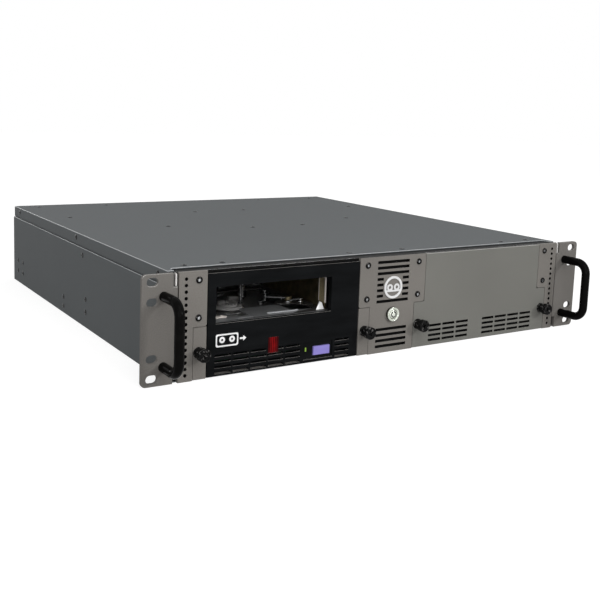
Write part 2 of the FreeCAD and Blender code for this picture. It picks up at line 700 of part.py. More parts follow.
def badge():
    """A plain emblem: two tape reels on a bar, in a ring."""
    body = new_body("badge")
    span = (front - s.badge_thickness, front)
    inner = s.badge_radius - s.badge_ring
    reach = inner + s.badge_ring / 2
    pad(body, "front", span, [(ZERO, s.badge_z, s.badge_radius), (ZERO, s.badge_z, inner)])
    bar_low = s.badge_z - s.badge_reel - s.badge_bar / 2
    bar_half = reach - s.badge_ring / 4
    pad(body, "front", span, [rect(-bar_half, bar_half, bar_low, bar_low + s.badge_bar)])
    for x in (-s.badge_reel_offset, s.badge_reel_offset):
        pad(body, "front", span, [(x, s.badge_z, s.badge_reel)])
    for x in (-s.badge_reel_offset, s.badge_reel_offset):
        pocket(body, "front", span, [(x, s.badge_z, s.badge_eye)])


def power_switch():
    at = (ZERO, s.button_z)
    bore = s.button_radius + s.fit_gap
    flange = rod("y", at, s.switch_flange, (front - s.switch_flange_reach, front))
    barrel = rod("y", at, s.switch_barrel, (front, front + s.switch_barrel_depth))
    nut = doc.addObject("Part::Prism", "nut")
    nut.Polygon = 6
    bind(nut, "Circumradius", s.switch_nut)
    bind(nut, "Height", s.switch_nut_depth)
    place(nut, ZERO, plate_back, s.button_z, TURN["y"])
    well_end = front + s.button_travel + s.seat_gap
    well = rod("y", at, bore, (front - s.switch_flange_reach, well_end))
    stem_well = rod("y", at, s.button_stem + s.fit_gap, (well_end, front + s.switch_barrel_depth / 2))
    keep("switch_body", cut(fuse(flange, barrel, nut), well, stem_well))
    cap = rod("y", at, s.button_radius, (front - s.switch_flange_reach - s.button_proud, front))
    stem = rod("y", at, s.button_stem, (front, front + s.switch_barrel_depth / 2 - s.button_travel
                                        - s.seat_gap))
    keep("power_button", fuse(cap, stem))


# ---- captive thumbscrews ---------------------------------------------------------------------------------

def ferrule(x):
    tab_face = front
    return tube("y", (x, s.thumb_z), s.ferrule_radius, s.ferrule_bore,
                (tab_face - s.ferrule_length, tab_face))


def retainer(label, x):
    """A clip ring on the screw's neck; it rides in and out with the screw and does not turn."""
    at = (x, s.thumb_z)
    span = (front - s.slip - s.retainer_thickness, front - s.slip)
    keep(label, tube("y", at, s.ferrule_bore - s.fit_gap, s.thumb_thread + s.fit_gap, span))


def thumbscrew(label, x):
    """Made along its own Z axis with the knob's front face up, then turned to face forwards."""
    body = new_body(label)
    tip = -(s.thumb_tip + s.ferrule_length + s.seat_gap)
    knob = s.thumb_knob
    rim = s.thumb_groove
    length = s.thumb_knob_length
    revolve(body, [(ZERO, tip), (s.thumb_thread, tip), (s.thumb_thread, ZERO), (knob - rim, ZERO),
                   (knob, rim), (knob, length - rim), (knob - rim, length), (ZERO, length)])
    pocket(body, "plan", (length - s.thumb_socket_depth, length), [(ZERO, ZERO, s.thumb_socket)])
    groove = [(knob - s.knurl_depth, ZERO), (knob + rim, -s.knurl_half), (knob + rim, s.knurl_half)]
    notch = pocket(body, "plan", (-s.seat_gap, length + s.seat_gap), [groove])
    ring_of(body, notch, KNURLS)
    face_forward = Rotation(Vector(1, 0, 0), 90)
    place(body, x, front - s.ferrule_length - s.seat_gap, s.thumb_z, face_forward)


# ---- drive module ----------------------------------------------------------------------------------------

def across_bay(centre, inner, outer):
    """The same span on both sides of a bay's middle."""
    return [(centre - outer, centre - inner), (centre + inner, centre + outer)]


def module_tray():
    floor = s.sheet + s.seat_gap
    wall = s.module_half - s.module_wall
    outline = [(bay_centre - s.module_half, floor), (bay_centre + s.module_half, floor),
               (bay_centre + s.module_half, s.module_wall_top), (bay_centre + wall, s.module_wall_top),
               (bay_centre + wall, floor + s.sheet), (bay_centre - wall, floor + s.sheet),
               (bay_centre - wall, s.module_wall_top), (bay_centre - s.module_half, s.module_wall_top)]
    body = new_body("module_tray")
    pad(body, "front", (front + s.module_front, front + s.module_depth), [outline])
    for x0, x1 in across_bay(bay_centre, wall, s.tab_half):
        pad(body, "front", (front + s.tab_front, front + s.module_front),
            [rect(x0, x1, s.tab_bottom, s.tab_top)])
    for x0, x1 in across_bay(bay_centre, s.tab_inner, s.tab_half):
        pad(body, "front", (front, front + s.tab_front), [rect(x0, x1, s.tab_bottom, s.tab_top)])
    holes = [(bay_centre + s.thumb_offset * side, s.thumb_z, s.thumb_thread + s.fit_gap * 4)
             for side in (-1, 1)]
    pocket(body, "front", (front, front + s.module_front), holes)


def bezel():
    body = new_body("drive_bezel")
    face = rect(bay_centre - s.bezel_half, bay_centre + s.bezel_half, s.bezel_bottom, s.bezel_top)
    pad(body, "front", (front, front + s.bezel_lip), [face])
    half = s.drive_half
    low = s.sheet * 2 + s.seat_gap * 2
    shell = rect(bay_centre - half, bay_centre + half, low, s.bezel_body_top)
    pad(body, "front", (front + s.bezel_lip, front + s.bezel_depth), [shell])
    inset = half - s.bezel_wall
    hollow = rect(bay_centre - inset, bay_centre + inset, low + s.bezel_wall,
                  s.bezel_body_top - s.bezel_wall)
    pocket(body, "front", (front + s.bezel_face, front + s.bezel_depth), [hollow])
    face_span = (front, front + s.bezel_face)
    mouth = rect(-s.mouth_left, -s.mouth_right, s.mouth_bottom, s.mouth_top)
    window = rect(-s.window_left, -s.window_right, s.window_bottom, s.window_bottom + s.window_height)
    pocket(body, "front", face_span, [mouth, window])
    for left, count in ((-s.bezel_vent_left, BEZEL_COLUMNS), (-s.last_vent_left, 1)):
        column = [slot_rect(left, s.bezel_vent_length, s.bezel_vent_top - s.bezel_row_pitch * row,
                            s.bezel_vent_height) for row in range(VENT_ROWS)]
        vents = pocket(body, "front", face_span, column)
        if count > 1:
            row_of(body, vents, "H_Axis", count, s.bezel_vent_pitch)
    recess = rect(-s.panel_left, -s.panel_right, s.control_bottom, s.control_top)
    pocket(body, "front", (front, front + s.control_depth), [recess])
    lamp = rect(-s.lamp_x - s.lamp_width / 2, -s.lamp_x + s.lamp_width / 2,
                s.lamp_z - s.lamp_height / 2, s.lamp_z + s.lamp_height / 2)
    gap = s.seat_gap
    key = rect(-s.eject_left - gap, -s.eject_right + gap, s.eject_bottom - gap, s.eject_top + gap)
    pocket(body, "front", face_span, [lamp, key])


def bezel_fittings():
    window = block((-s.window_left, -s.window_right), (front - s.slip, front + s.bezel_face),
                   (s.window_bottom, s.window_bottom + s.window_height))
    keep("red_window", window)
    half = s.lamp_width / 2
    lamp = block((-s.lamp_x - half, -s.lamp_x + half), (front + s.control_depth - s.slip,
                                                        front + s.bezel_face),
                 (s.lamp_z - s.lamp_height / 2, s.lamp_z + s.lamp_height / 2))
    keep("status_lamp", lamp)
    body = new_body("eject_button")
    face = rect(-s.eject_left, -s.eject_right, s.eject_bottom, s.eject_top)
    pad(body, "front", (front - s.eject_proud, front + s.bezel_face), [face])
    middle_x = -(s.eject_left + s.eject_right) / 2
    middle_z = (s.eject_bottom + s.eject_top) / 2
    pad(body, "front", (front + s.bezel_face, front + s.eject_length), [(middle_x, middle_z, s.button_stem)])


drive_floor = s.sheet * 2 + s.seat_gap
drive_span = (front + s.bezel_depth + s.seat_gap, front + s.drive_depth)
supply_at = (-s.supply_x, front + s.supply_y)
takeup_at = (-s.takeup_x, front + s.takeup_y)
head_rod_at = (-s.head_x, front + s.head_y - s.head_rod_gap)
head_screw_at = (-s.head_x, front + s.head_y + s.head_rod_gap)
guide_places = [(-s.guide_x, front + y) for y in (s.guide_near, s.guide_far)]
arm_at = (-s.arm_x, front + s.arm_y)
arm_low = s.deck_top + s.arm_lift
# guide rollers: how far each stands from the drive's right side and from the take-up reel's middle
ROLLER_PLACES = [(47.4, -39.0), (18.4, -35.0), (13.4, 13.0), (33.4, 33.0)]
drive_right = s.bay_offset - s.drive_half
roller_places = [(-drive_right - inward, takeup_at[1] + along) for inward, along in ROLLER_PLACES]


def drive_base():
    """Side walls with the deck between them; the deck carries every shaft and post."""
    half, inner = s.drive_half, s.drive_half - s.drive_wall
    low, high = s.deck_top - s.deck_thickness, s.deck_top
    right = [(bay_centre + inner, low), (bay_centre + inner, drive_floor), (bay_centre + half, drive_floor),
             (bay_centre + half, s.lid_under), (bay_centre + inner, s.lid_under), (bay_centre + inner, high)]
    left = [(bay_centre * 2 - u, v) for u, v in reversed(right)]
    body = new_body("drive_base")
    pad(body, "front", drive_span, [right + left])
    holes = [(x, y, s.shaft_radius + s.fit_gap) for x, y in (supply_at, takeup_at)]
    holes.append(head_screw_at + (s.screw_radius + s.fit_gap,))
    pocket(body, "plan", (low, high), holes)


def drive_lid():
    lid = block((bay_centre - s.drive_half, bay_centre + s.drive_half), drive_span,
                (s.lid_under, s.bezel_body_top))
    keep("drive_lid", lid)


def motors():
    """Two reel motors and the small head motor, hung under the deck."""
    low, high = s.motor_bottom, s.deck_top - s.deck_thickness
    pieces = [tube("z", at, s.motor_radius, s.shaft_radius + s.fit_gap, (low, high))
              for at in (supply_at, takeup_at)]
    pieces.append(tube("z", head_screw_at, s.stepper_radius, s.screw_radius + s.fit_gap, (low, high)))
    keep("motors", group(pieces))


def supply_clutch():
    body = new_body("supply_clutch")
    disc_top = s.deck_top + s.seat_gap + s.disc_thickness
    drum_top = s.drum_low + s.drum_height
    neck = s.crown_outer
    revolve(body, [(ZERO, s.shaft_bottom), (s.shaft_radius, s.shaft_bottom),
                   (s.shaft_radius, s.deck_top + s.seat_gap), (s.disc_radius, s.deck_top + s.seat_gap),
                   (s.disc_radius, disc_top), (neck, disc_top), (neck, s.drum_low),
                   (s.drum_radius, s.drum_low), (s.drum_radius, drum_top), (s.crown_outer, drum_top),
                   (s.crown_outer, drum_top + s.crown_height),
                   (s.crown_inner, drum_top + s.crown_height), (s.crown_inner, drum_top),
                   (ZERO, drum_top)])
    half = s.crown_tooth_gap / 2
    gap = rect(s.crown_inner - s.seat_gap, s.crown_outer + s.seat_gap, -half, half)
    top = drum_top + s.crown_height
    notch = pocket(body, "plan", (drum_top + s.crown_height / 2, top + s.seat_gap), [gap])
    ring_of(body, notch, CROWN_TEETH)
    place(body, *supply_at, ZERO)


def takeup_reel():
    body = new_body("takeup_reel")
    low, high = s.tape_low, s.tape_low + s.tape_height
    rim = s.flange_thickness
    revolve(body, [(ZERO, s.shaft_bottom), (s.shaft_radius, s.shaft_bottom), (s.shaft_radius, low - rim),
                   (s.takeup_radius, low - rim), (s.takeup_radius, low), (s.takeup_hub, low),
                   (s.takeup_hub, high), (s.takeup_radius, high), (s.takeup_radius, high + rim),
                   (ZERO, high + rim)])
    place(body, *takeup_at, ZERO)


def guide_posts():
    """Fixed posts for the rollers, the head's rod and the receiver's two guides."""
    pieces = []
    for at in roller_places:
        shoulder = rod("z", at, s.post_shoulder, (s.deck_top, s.tape_low - s.roller_rim - s.seat_gap))
        pieces.append(fuse(shoulder, rod("z", at, s.post_radius, (s.deck_top, s.post_top))))
    pieces.append(rod("z", head_rod_at, s.rod_radius, (s.deck_top, s.rod_top)))
    pieces += [rod("z", at, s.rod_radius, (s.deck_top, s.rod_top)) for at in guide_places]
    pieces.append(rod("z", arm_at, s.post_radius, (s.deck_top, arm_low + s.arm_thickness * 2)))
    keep("guide_posts", group(pieces))


def roller(label, at):
    body = new_body(label)
    low, high = s.tape_low, s.tape_low + s.tape_height
    bore, rim = s.post_radius + s.fit_gap, s.roller_rim
    revolve(body, [(bore, low - rim), (s.roller_flange, low - rim), (s.roller_flange, low),
                   (s.roller_radius, low), (s.roller_radius, high), (s.roller_flange, high),
                   (s.roller_flange, high + rim), (bore, high + rim)])
    place(body, *at, ZERO)


def head():
    body = new_body("head_assembly")
    x1 = -s.head_x + s.head_back
    x0 = x1 - s.head_width
    y0 = front + s.head_y - s.head_length / 2
    zs = (s.head_low, s.head_low + s.head_height)
    pad(body, "plan", zs, [rect(x0, x1, y0, y0 + s.head_length)])
    pocket(body, "plan", zs, [head_rod_at + (s.rod_radius + s.fit_gap,),
                              head_screw_at + (s.screw_radius + s.fit_gap,)])
    keep("head_screw", rod("z", head_screw_at, s.screw_radius, (s.shaft_bottom, s.rod_top)))


def receiver():
    """The sheet cradle that takes the cartridge and lowers it onto the clutch."""
    left, right = -s.receiver_left, -s.receiver_right
    wall = s.receiver_wall
    y0, y1 = front + s.receiver_front, front + s.receiver_back
    floor = (s.receiver_floor, s.receiver_floor + wall)
    walls = (s.receiver_floor, s.receiver_top)
    body = new_body("cartridge_receiver")
    plan = rect(left, right, y0, y1)
    opening = rect(left + s.receiver_ledge, right - s.receiver_ledge, y0 + s.receiver_lip,
                   y1 - s.receiver_ledge)
    pad(body, "plan", floor, [plan, opening])
    for x0, x1 in ((left, left + wall), (right - wall, right)):
        pad(body, "plan", walls, [rect(x0, x1, y0 + s.receiver_setback, y1)])
    for x, y in guide_places:
        half = s.rod_radius * 2
        pad(body, "plan", floor, [rect(right, right + s.receiver_ear, y - half, y + half)])
    pocket(body, "plan", floor, [at + (s.rod_radius + s.fit_gap,) for at in guide_places])


def leader_arm():
    """The catch that leads the tape's end to the take-up reel."""
    low = arm_low
    body = new_body("leader_arm")
    half = s.arm_width / 2
    span = (low, low + s.arm_thickness)
    pad(body, "plan", span, [(ZERO, ZERO, s.arm_hub)])
    pad(body, "plan", span, [rect(-s.arm_length, ZERO, -half, half)])
    pad(body, "plan", (low, low + s.arm_thickness * 2), [(-s.arm_length, ZERO, s.arm_tip)])
    pocket(body, "plan", span, [(ZERO, ZERO, s.post_radius + s.fit_gap)])
    place(body, *arm_at, ZERO, Rotation(Vector(0, 0, 1), ARM_ANGLE))


BOARD_CHIPS = [(0.2, 0.2, 0.2), (0.55, 0.25, 0.16), (0.3, 0.6, 0.26), (0.72, 0.62, 0.14), (0.6, 0.82, 0.18)]


def controller_board():
    """A board under the deck; the chips' places and sizes are shares of the board."""
    xs = (bay_centre - s.drive_half + s.drive_wall * 2, bay_centre + s.drive_half - s.drive_wall * 2)
    ys = (drive_span[0] + s.drive_wall, drive_span[1] - s.drive_wall)
    width, length = xs[1] - xs[0], ys[1] - ys[0]
    top = s.board_z + s.board_thickness
    pieces = [block(xs, ys, (s.board_z, top))]
    for across, along, share in BOARD_CHIPS:
        x, y = xs[0] + width * across, ys[0] + length * along
        pieces.append(block((x, x + width * share), (y, y + width * share), (top, top + s.board_thickness)))
    inset = s.post_shoulder * 2
    for x in (xs[0] + inset, xs[1] - inset):
        for y in (ys[0] + inset, ys[1] - inset):
            pieces.append(rod("z", (x, y), s.post_shoulder, (drive_floor, s.board_z)))
    keep("controller_board", fuse(*pieces))


def blind_connector():
    """A plug on an upright board at the module's rear edge."""
    half = s.plug_width / 2
    face = front + s.module_depth + s.plug_depth / 2
    board = block((bay_centre - half, bay_centre + half),
                  (face - s.plug_depth - s.board_thickness, face - s.plug_depth),
                  (drive_floor, s.plug_z + s.plug_height))
    plug = block((bay_centre - half + s.board_thickness, bay_centre + half - s.board_thickness),
                 (face - s.plug_depth, face), (s.plug_z, s.plug_z + s.plug_height))
    keep("module_connector", fuse(board, plug))


# ---- bays and rear section -------------------------------------------------------------------------------

def bay_divider():
    half, wall = s.divider_half, s.divider_half - s.sheet
    floor = s.sheet
    outline = [(-half, floor), (half, floor), (half, s.divider_top), (wall, s.divider_top),
               (wall, floor + s.sheet), (-wall, floor + s.sheet), (-wall, s.divider_top),
               (-half, s.divider_top)]
    body = new_body("bay_divider")
    pad(body, "front", (front + s.divider_front, front + s.divider_back), [outline])


def side_rails():
    """Folded guides between each bay and the outer wall."""
    pieces = []
    ys = (front + s.divider_front, front + s.divider_back)
    for side in SIDES.values():
        wall = block(sided(side, s.rail_x, s.rail_x + s.sheet), ys, (s.sheet, s.rail_top))
        foot = block(sided(side, s.rail_x, s.rail_x + s.rail_foot), ys, (s.sheet, s.sheet * 2))
        pieces.append(fuse(wall, foot))
    keep("side_rails", group(pieces))


def backplane():
    y0 = front + s.backplane_y
    y1 = y0 + s.board_thickness
    board = block((-s.backplane_half, s.backplane_half), (y0, y1), (s.sheet, s.backplane_top))
    pieces = [board]
    half = s.plug_width / 2
    front_face = front + s.module_depth + s.plug_depth / 2 + s.seat_gap
    for side in SIDES.values():
        x = s.bay_offset * side
        pieces.append(block((x - half, x + half), (front_face, y0), (s.plug_z, s.plug_z + s.plug_height)))
        inlet = s.plug_height / 2
        pieces.append(block((x - inlet, x + inlet), (y1, y1 + s.plug_depth),
                            (s.plug_z, s.plug_z + s.plug_height)))
    keep("backplane_board", fuse(*pieces))


fan_places = [(-s.fan_near_x, s.fan_z), (-s.fan_far_x, s.fan_z)]
panel_inner = back - s.sheet
inlet_at = (s.inlet_x, s.inlet_z)


def inlet_outline(grow):
    half_w, half_h = s.inlet_width / 2 + grow, s.inlet_height / 2 + grow
    return (s.inlet_x - half_w, s.inlet_x + half_w), (s.inlet_z - half_h, s.inlet_z + half_h)


def rear_panel():
    half = s.joggle_outer - s.sheet - s.slip
    body = new_body("rear_panel")
    span = (panel_inner, back)
    pad(body, "front", span, [rect(-half, half, ZERO, s.cover_under - s.slip)])
    pocket(body, "front", span, [at + (s.fan_bore,) for at in fan_places])
    xs, zs = inlet_outline(s.slip)
    ports = []
    for z in (s.port_low, s.port_high):
        ports.append(rect(s.port_x - s.slip, s.port_x + s.port_width + s.slip, z - s.slip,
                          z + s.port_height + s.slip))
    pocket(body, "front", span, [rect(*xs, *zs)] + ports)


def power_supply():
    """A closed case, with a recess for the inlet in its rear face."""
    xs = (s.supply_left, s.supply_right)
    case = block(xs, (front + s.supply_front, panel_inner), (s.sheet, s.supply_top))
    pocket_x, pocket_z = inlet_outline(s.slip)
    recess = block(pocket_x, (panel_inner - s.inlet_depth - s.slip, panel_inner), pocket_z)
    keep("power_supply", cut(case, recess))


def mains_inlet():
    """An appliance inlet with a rocker switch above it, in one housing."""
    xs, zs = inlet_outline(ZERO)
    rim = s.inlet_proud / 2
    shell = block(xs, (panel_inner - s.inlet_depth, back), zs)
    flange = block((xs[0] - rim, xs[1] + rim), (back, back + rim), (zs[0] - rim, zs[1] + rim))
    floor = (zs[0] + s.inlet_proud, zs[1] - s.rocker_height - s.inlet_proud * 2)
    cavity = block((xs[0] + s.inlet_proud, xs[1] - s.inlet_proud), (back - s.inlet_depth / 2, back + rim),
                   floor)
    half = s.rocker_width / 2 + s.seat_gap
    rocker_low = zs[1] - s.rocker_height - s.inlet_proud - s.seat_gap
    rocker_high = zs[1] - s.inlet_proud + s.seat_gap
    well = block((s.inlet_x - half, s.inlet_x + half), (back - s.inlet_depth / 2, back + rim),
                 (rocker_low, rocker_high))
    middle = (floor[0] + floor[1]) / 2
    pins = [block((s.inlet_x + dx - rim / 2, s.inlet_x + dx + rim / 2),
                  (back - s.inlet_depth / 2, back), (middle + dz - rim, middle + dz + rim))
            for dx, dz in ((-s.pin_spread, -s.pin_rise), (ZERO, s.pin_rise), (s.pin_spread, -s.pin_rise))]
    rocker_middle = (rocker_low + rocker_high) / 2
    pivot_y = back - rim * 2
    axle = rod("x", (pivot_y, rocker_middle), s.post_radius,
               (s.inlet_x - half - s.slip, s.inlet_x + half + s.slip))
    keep("mains_inlet", fuse(cut(fuse(shell, flange), cavity, well), axle, *pins))
    body = new_body("mains_rocker")
    tall = s.rocker_height / 2 - s.inlet_proud / 2
    thick = s.post_radius * 2
    pad(body, "side", (-s.rocker_width / 2, s.rocker_width / 2),
        [[(-thick, -tall * ROCKER_BACK), (thick, -tall), (thick * ROCKER_WAIST, ZERO), (thick, tall),
          (-thick, tall * ROCKER_BACK)]])
    pocket(body, "side", (-s.rocker_width / 2, s.rocker_width / 2),
           [(ZERO, ZERO, s.post_radius + s.fit_gap)])
    place(body, s.inlet_x, pivot_y, rocker_middle, Rotation(Vector(1, 0, 0), ROCKER_LEAN))


def fans():
    """Two axial fans behind round openings in the rear panel."""
    half = s.fan_size / 2
    ys = (panel_inner - s.fan_depth, panel_inner)
    frames = []
    for x, z in fan_places:
        case = block((x - half, x + half), ys, (z - half, z + half))
        duct = rod("y", (x, z), s.fan_bore, ys)
        bearing = rod("y", (x, z), s.fan_hub, (ys[0], ys[0] + s.guard_wire * 3))
        arms = [block((x - s.fan_bore - s.seat_gap, x + s.fan_bore + s.seat_gap),
                      (ys[0], ys[0] + s.guard_wire * 2), (z - s.guard_wire, z + s.guard_wire)),
                block((x - s.guard_wire, x + s.guard_wire), (ys[0], ys[0] + s.guard_wire * 2),
                      (z - s.fan_bore - s.seat_gap, z + s.fan_bore + s.seat_gap))]
        spindle = rod("y", (x, z), s.post_radius, (ys[0], ys[1] - s.guard_wire * 5))
        frames.append(fuse(cut(case, duct), bearing, spindle, *arms))
    keep("fan_frames", group(frames))


def fan_rotor(label, at):
    """A hub with twisted blades, made along its own Z axis and then laid along Y."""
    low = s.guard_wire * 3 + s.seat_gap
    high = s.fan_depth - s.guard_wire * 3
    hub = cut(rod("z", (ZERO, ZERO), s.fan_hub - s.slip, (low, high)),
              rod("z", (ZERO, ZERO), s.post_radius + s.fit_gap, (low, high - s.guard_wire * 2 + s.slip)))
    blades = []
    for number in range(BLADES):
        blade = doc.addObject("Part::Box", "blade")
        bind(blade, "Length", s.fan_blade - s.fan_hub + s.guard_wire * 2)
        bind(blade, "Width", s.guard_wire * 1.5)
        bind(blade, "Height", (high - low) * 0.9)
        angle = number * 360.0 / BLADES
        around = Rotation(Vector(0, 0, 1), angle)
        lean = Rotation(Vector(1, 0, 0), BLADE_LEAN)
        reach = s.fan_hub - s.guard_wire * 2
        place(blade, reach * math.cos(math.radians(angle)), reach * math.sin(math.radians(angle)),
              low + s.guard_wire, around.multiply(lean))
        blades.append(blade)
    rotor = fuse(hub, *blades)
    trimmed = doc.addObject("Part::Common", "trimmed")
    trimmed.Base = rotor
    trimmed.Tool = rod("z", (ZERO, ZERO), s.fan_blade, (low, high))
    place(trimmed, at[0], panel_inner - s.fan_depth, at[1], TURN["y"])
    keep(label, trimmed)


def fan_guards():
    """Guards of three rings on two crossed bars, on the rear panel's outer face."""
    wire = s.guard_wire
    pieces = []
    for x, z in fan_places:
        rings = []
        for share in (0.3, 0.65, 1.0):
            radius = s.fan_bore * share
            rings.append(tube("y", (x, z), radius + wire, radius - wire, (back + wire, back + wire * 3)))
        reach = s.fan_bore + wire * 3
        bars = [rod("x", (back + wire, z), wire, (x - reach, x + reach)),
                rod("z", (x, back + wire), wire, (z - reach, z + reach))]
        pieces.append(fuse(*rings, *bars))
    keep("fan_guards", group(pieces))


def interface_board():
    """An upright board with two wide rear ports."""
    x0, x1 = s.port_x, s.port_x + s.port_width
    y0 = panel_inner - s.port_board_depth
    board = block((x1 - s.board_thickness, x1), (y0, panel_inner), (s.sheet, s.port_high + s.port_height))
    pieces = [board]
    rim = s.board_thickness / 2
    for z in (s.port_low, s.port_high):
        shell = block((x0, x1), (panel_inner - s.plug_depth, back + s.rear_reach), (z, z + s.port_height))
        mouth = block((x0 + rim, x1 - rim), (back - s.rear_reach, back + s.rear_reach),
                      (z + rim, z + s.port_height - rim))
        tongue = block((x0 + rim * 3, x1 - rim * 3), (back - s.rear_reach, back + s.rear_reach / 2),
                       (z + s.port_height / 2 - rim, z + s.port_height / 2 + rim))
        pieces += [cut(shell, mouth), tongue]
    keep("interface_board", fuse(*pieces))


# ---- blank panel -----------------------------------------------------------------------------------------

def blank_panel():
    centre = s.bay_offset
    high, low = s.bay_high_half - s.seam, s.bay_low_half - s.seam
    right = [(centre + low, s.tab_bottom), (centre + low, s.tab_top), (centre + high, s.tab_top),
             (centre + high, s.blank_top)]
    left = [(centre * 2 - u, v) for u, v in reversed(right)]
    body = new_body("blank_panel")
    back_face = front + s.module_front
    pad(body, "front", (front, back_face), [right + left])
    for x0, x1 in across_bay(centre, s.module_half - s.module_wall, s.module_half):
        pad(body, "front", (back_face, front + s.blank_return),
            [rect(x0, x1, drive_floor, s.bezel_body_top)])
    for left_edge, count in ((s.blank_vent_near, NEAR_COLUMNS), (s.blank_vent_far, FAR_COLUMNS)):
        column = [slot_rect(left_edge, s.blank_vent_length, s.blank_vent_top - s.blank_row_pitch * row,
                            s.blank_vent_height) for row in range(VENT_ROWS)]
        vents = pocket(body, "front", (front, back_face), column)
        row_of(body, vents, "H_Axis", count, s.blank_vent_pitch)
    holes = [(centre + s.thumb_offset * side, s.thumb_z, s.thumb_thread + s.fit_gap * 4)
             for side in (-1, 1)]
    pocket(body, "front", (front, back_face), holes)


# ---- build -----------------------------------------------------------------------------------------------

def build():
    base_tray()
    top_cover()
    front_frame()
    for label, side in SIDES.items():
        side_plate(label + "_plate", side)
        ear(label + "_ear", side)
        handle(label + "_handle", side)
    centre_plate()
    plate_screws()
    cover_screws()
    side_screws()
    badge()
    power_switch()
    thumb_columns = [centre + s.thumb_offset * side for centre in (bay_centre, s.bay_offset)
                     for side in (-1, 1)]
    for number, x in enumerate(thumb_columns, 1):
        retainer("retainer_%d" % number, x)
        thumbscrew("thumbscrew_%d" % number, x)
    keep("module_ferrules", group([ferrule(x) for x in thumb_columns[:2]]))
    keep("blank_ferrules", group([ferrule(x) for x in thumb_columns[2:]]))
    module_tray()
    bezel()
    bezel_fittings()
    drive_base()
    drive_lid()
    motors()
    supply_clutch()
    takeup_reel()
    guide_posts()
    for number, at in enumerate(roller_places, 1):
        roller("guide_roller_%d" % number, at)
    head()
    receiver()
    leader_arm()
    controller_board()
    blind_connector()
    bay_divider()
    side_rails()
    backplane()
    rear_panel()
    power_supply()
    mains_inlet()
    fans()
    for number, at in enumerate(fan_places, 1):
        fan_rotor("fan_rotor_%d" % number, at)
    fan_guards()
    interface_board()
    blank_panel()


def check_and_export():
    doc.recompute()
    for obj in doc.Objects:
        if "Invalid" in obj.State or "Error" in obj.State:
            raise RuntimeError("%s (%s) failed: %s" % (obj.Name, obj.Label, obj.State))
    for label, obj in nodes.items():
        shape = obj.Shape
        if shape.isNull() or not shape.isValid() or not shape.Solids:
            raise RuntimeError(label + " has no sound solid")
    os.makedirs("parts", exist_ok=True)
    for label, obj in nodes.items():
        obj.Shape.exportStep("parts/%s.step" % label)
        box = obj.Shape.BoundBox
        print("%-20s %2d solids %9.0f mm3  x %7.1f %7.1f  y %7.1f %7.1f  z %6.1f %6.1f" % (
            label, len(obj.Shape.Solids), obj.Shape.Volume, box.XMin, box.XMax, box.YMin, box.YMax,
            box.ZMin, box.ZMax))
    print(len(nodes), "nodes")


build()
check_and_export()
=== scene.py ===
import json
import math
import bpy
from mathutils import Euler, Matrix, Vector


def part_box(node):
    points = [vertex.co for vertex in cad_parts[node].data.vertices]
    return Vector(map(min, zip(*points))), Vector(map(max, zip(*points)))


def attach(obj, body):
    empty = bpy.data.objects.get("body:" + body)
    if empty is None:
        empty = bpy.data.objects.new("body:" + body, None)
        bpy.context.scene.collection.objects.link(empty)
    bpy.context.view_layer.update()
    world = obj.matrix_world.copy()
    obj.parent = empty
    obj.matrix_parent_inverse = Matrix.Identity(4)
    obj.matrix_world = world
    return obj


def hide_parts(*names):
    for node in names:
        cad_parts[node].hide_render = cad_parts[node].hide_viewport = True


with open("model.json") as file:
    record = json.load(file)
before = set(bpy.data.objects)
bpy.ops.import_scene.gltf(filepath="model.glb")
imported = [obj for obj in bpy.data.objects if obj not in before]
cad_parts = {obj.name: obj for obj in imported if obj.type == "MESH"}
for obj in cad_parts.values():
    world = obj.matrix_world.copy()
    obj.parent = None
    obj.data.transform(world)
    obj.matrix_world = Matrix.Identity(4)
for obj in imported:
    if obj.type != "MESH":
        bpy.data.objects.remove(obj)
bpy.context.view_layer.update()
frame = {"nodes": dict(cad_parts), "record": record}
mm = 0.001
slotOf = {part["node"]: part["material_slot"] for part in frame["record"]["subparts"]}
bodyOf = {node: body for body, nodes in frame["record"]["behaviour"]["bodies"].items() for node in nodes}


def spanOf(node):  # a node's corners in millimetres
    low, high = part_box(node)
    return low / mm, high / mm


def middleOf(node):
    low, high = spanOf(node)
    return (low + high) / 2


frontY = spanOf("left_plate")[0].y  # the faces of the front plates
backY = spanOf("rear_panel")[1].y
print("frame loaded:", len(frame["nodes"]), "nodes")


class Value:  # a socket that can stand in a sum
    def __init__(self, finish, socket):
        self.finish = finish
        self.socket = socket

    def __add__(self, other):
        return self.finish.math("ADD", self, other)

    def __sub__(self, other):
        return self.finish.math("SUBTRACT", self, other)

    def __rsub__(self, other):
        return self.finish.math("SUBTRACT", other, self)

    def __mul__(self, other):
        return self.finish.math("MULTIPLY", self, other)

    __radd__ = __add__
    __rmul__ = __mul__


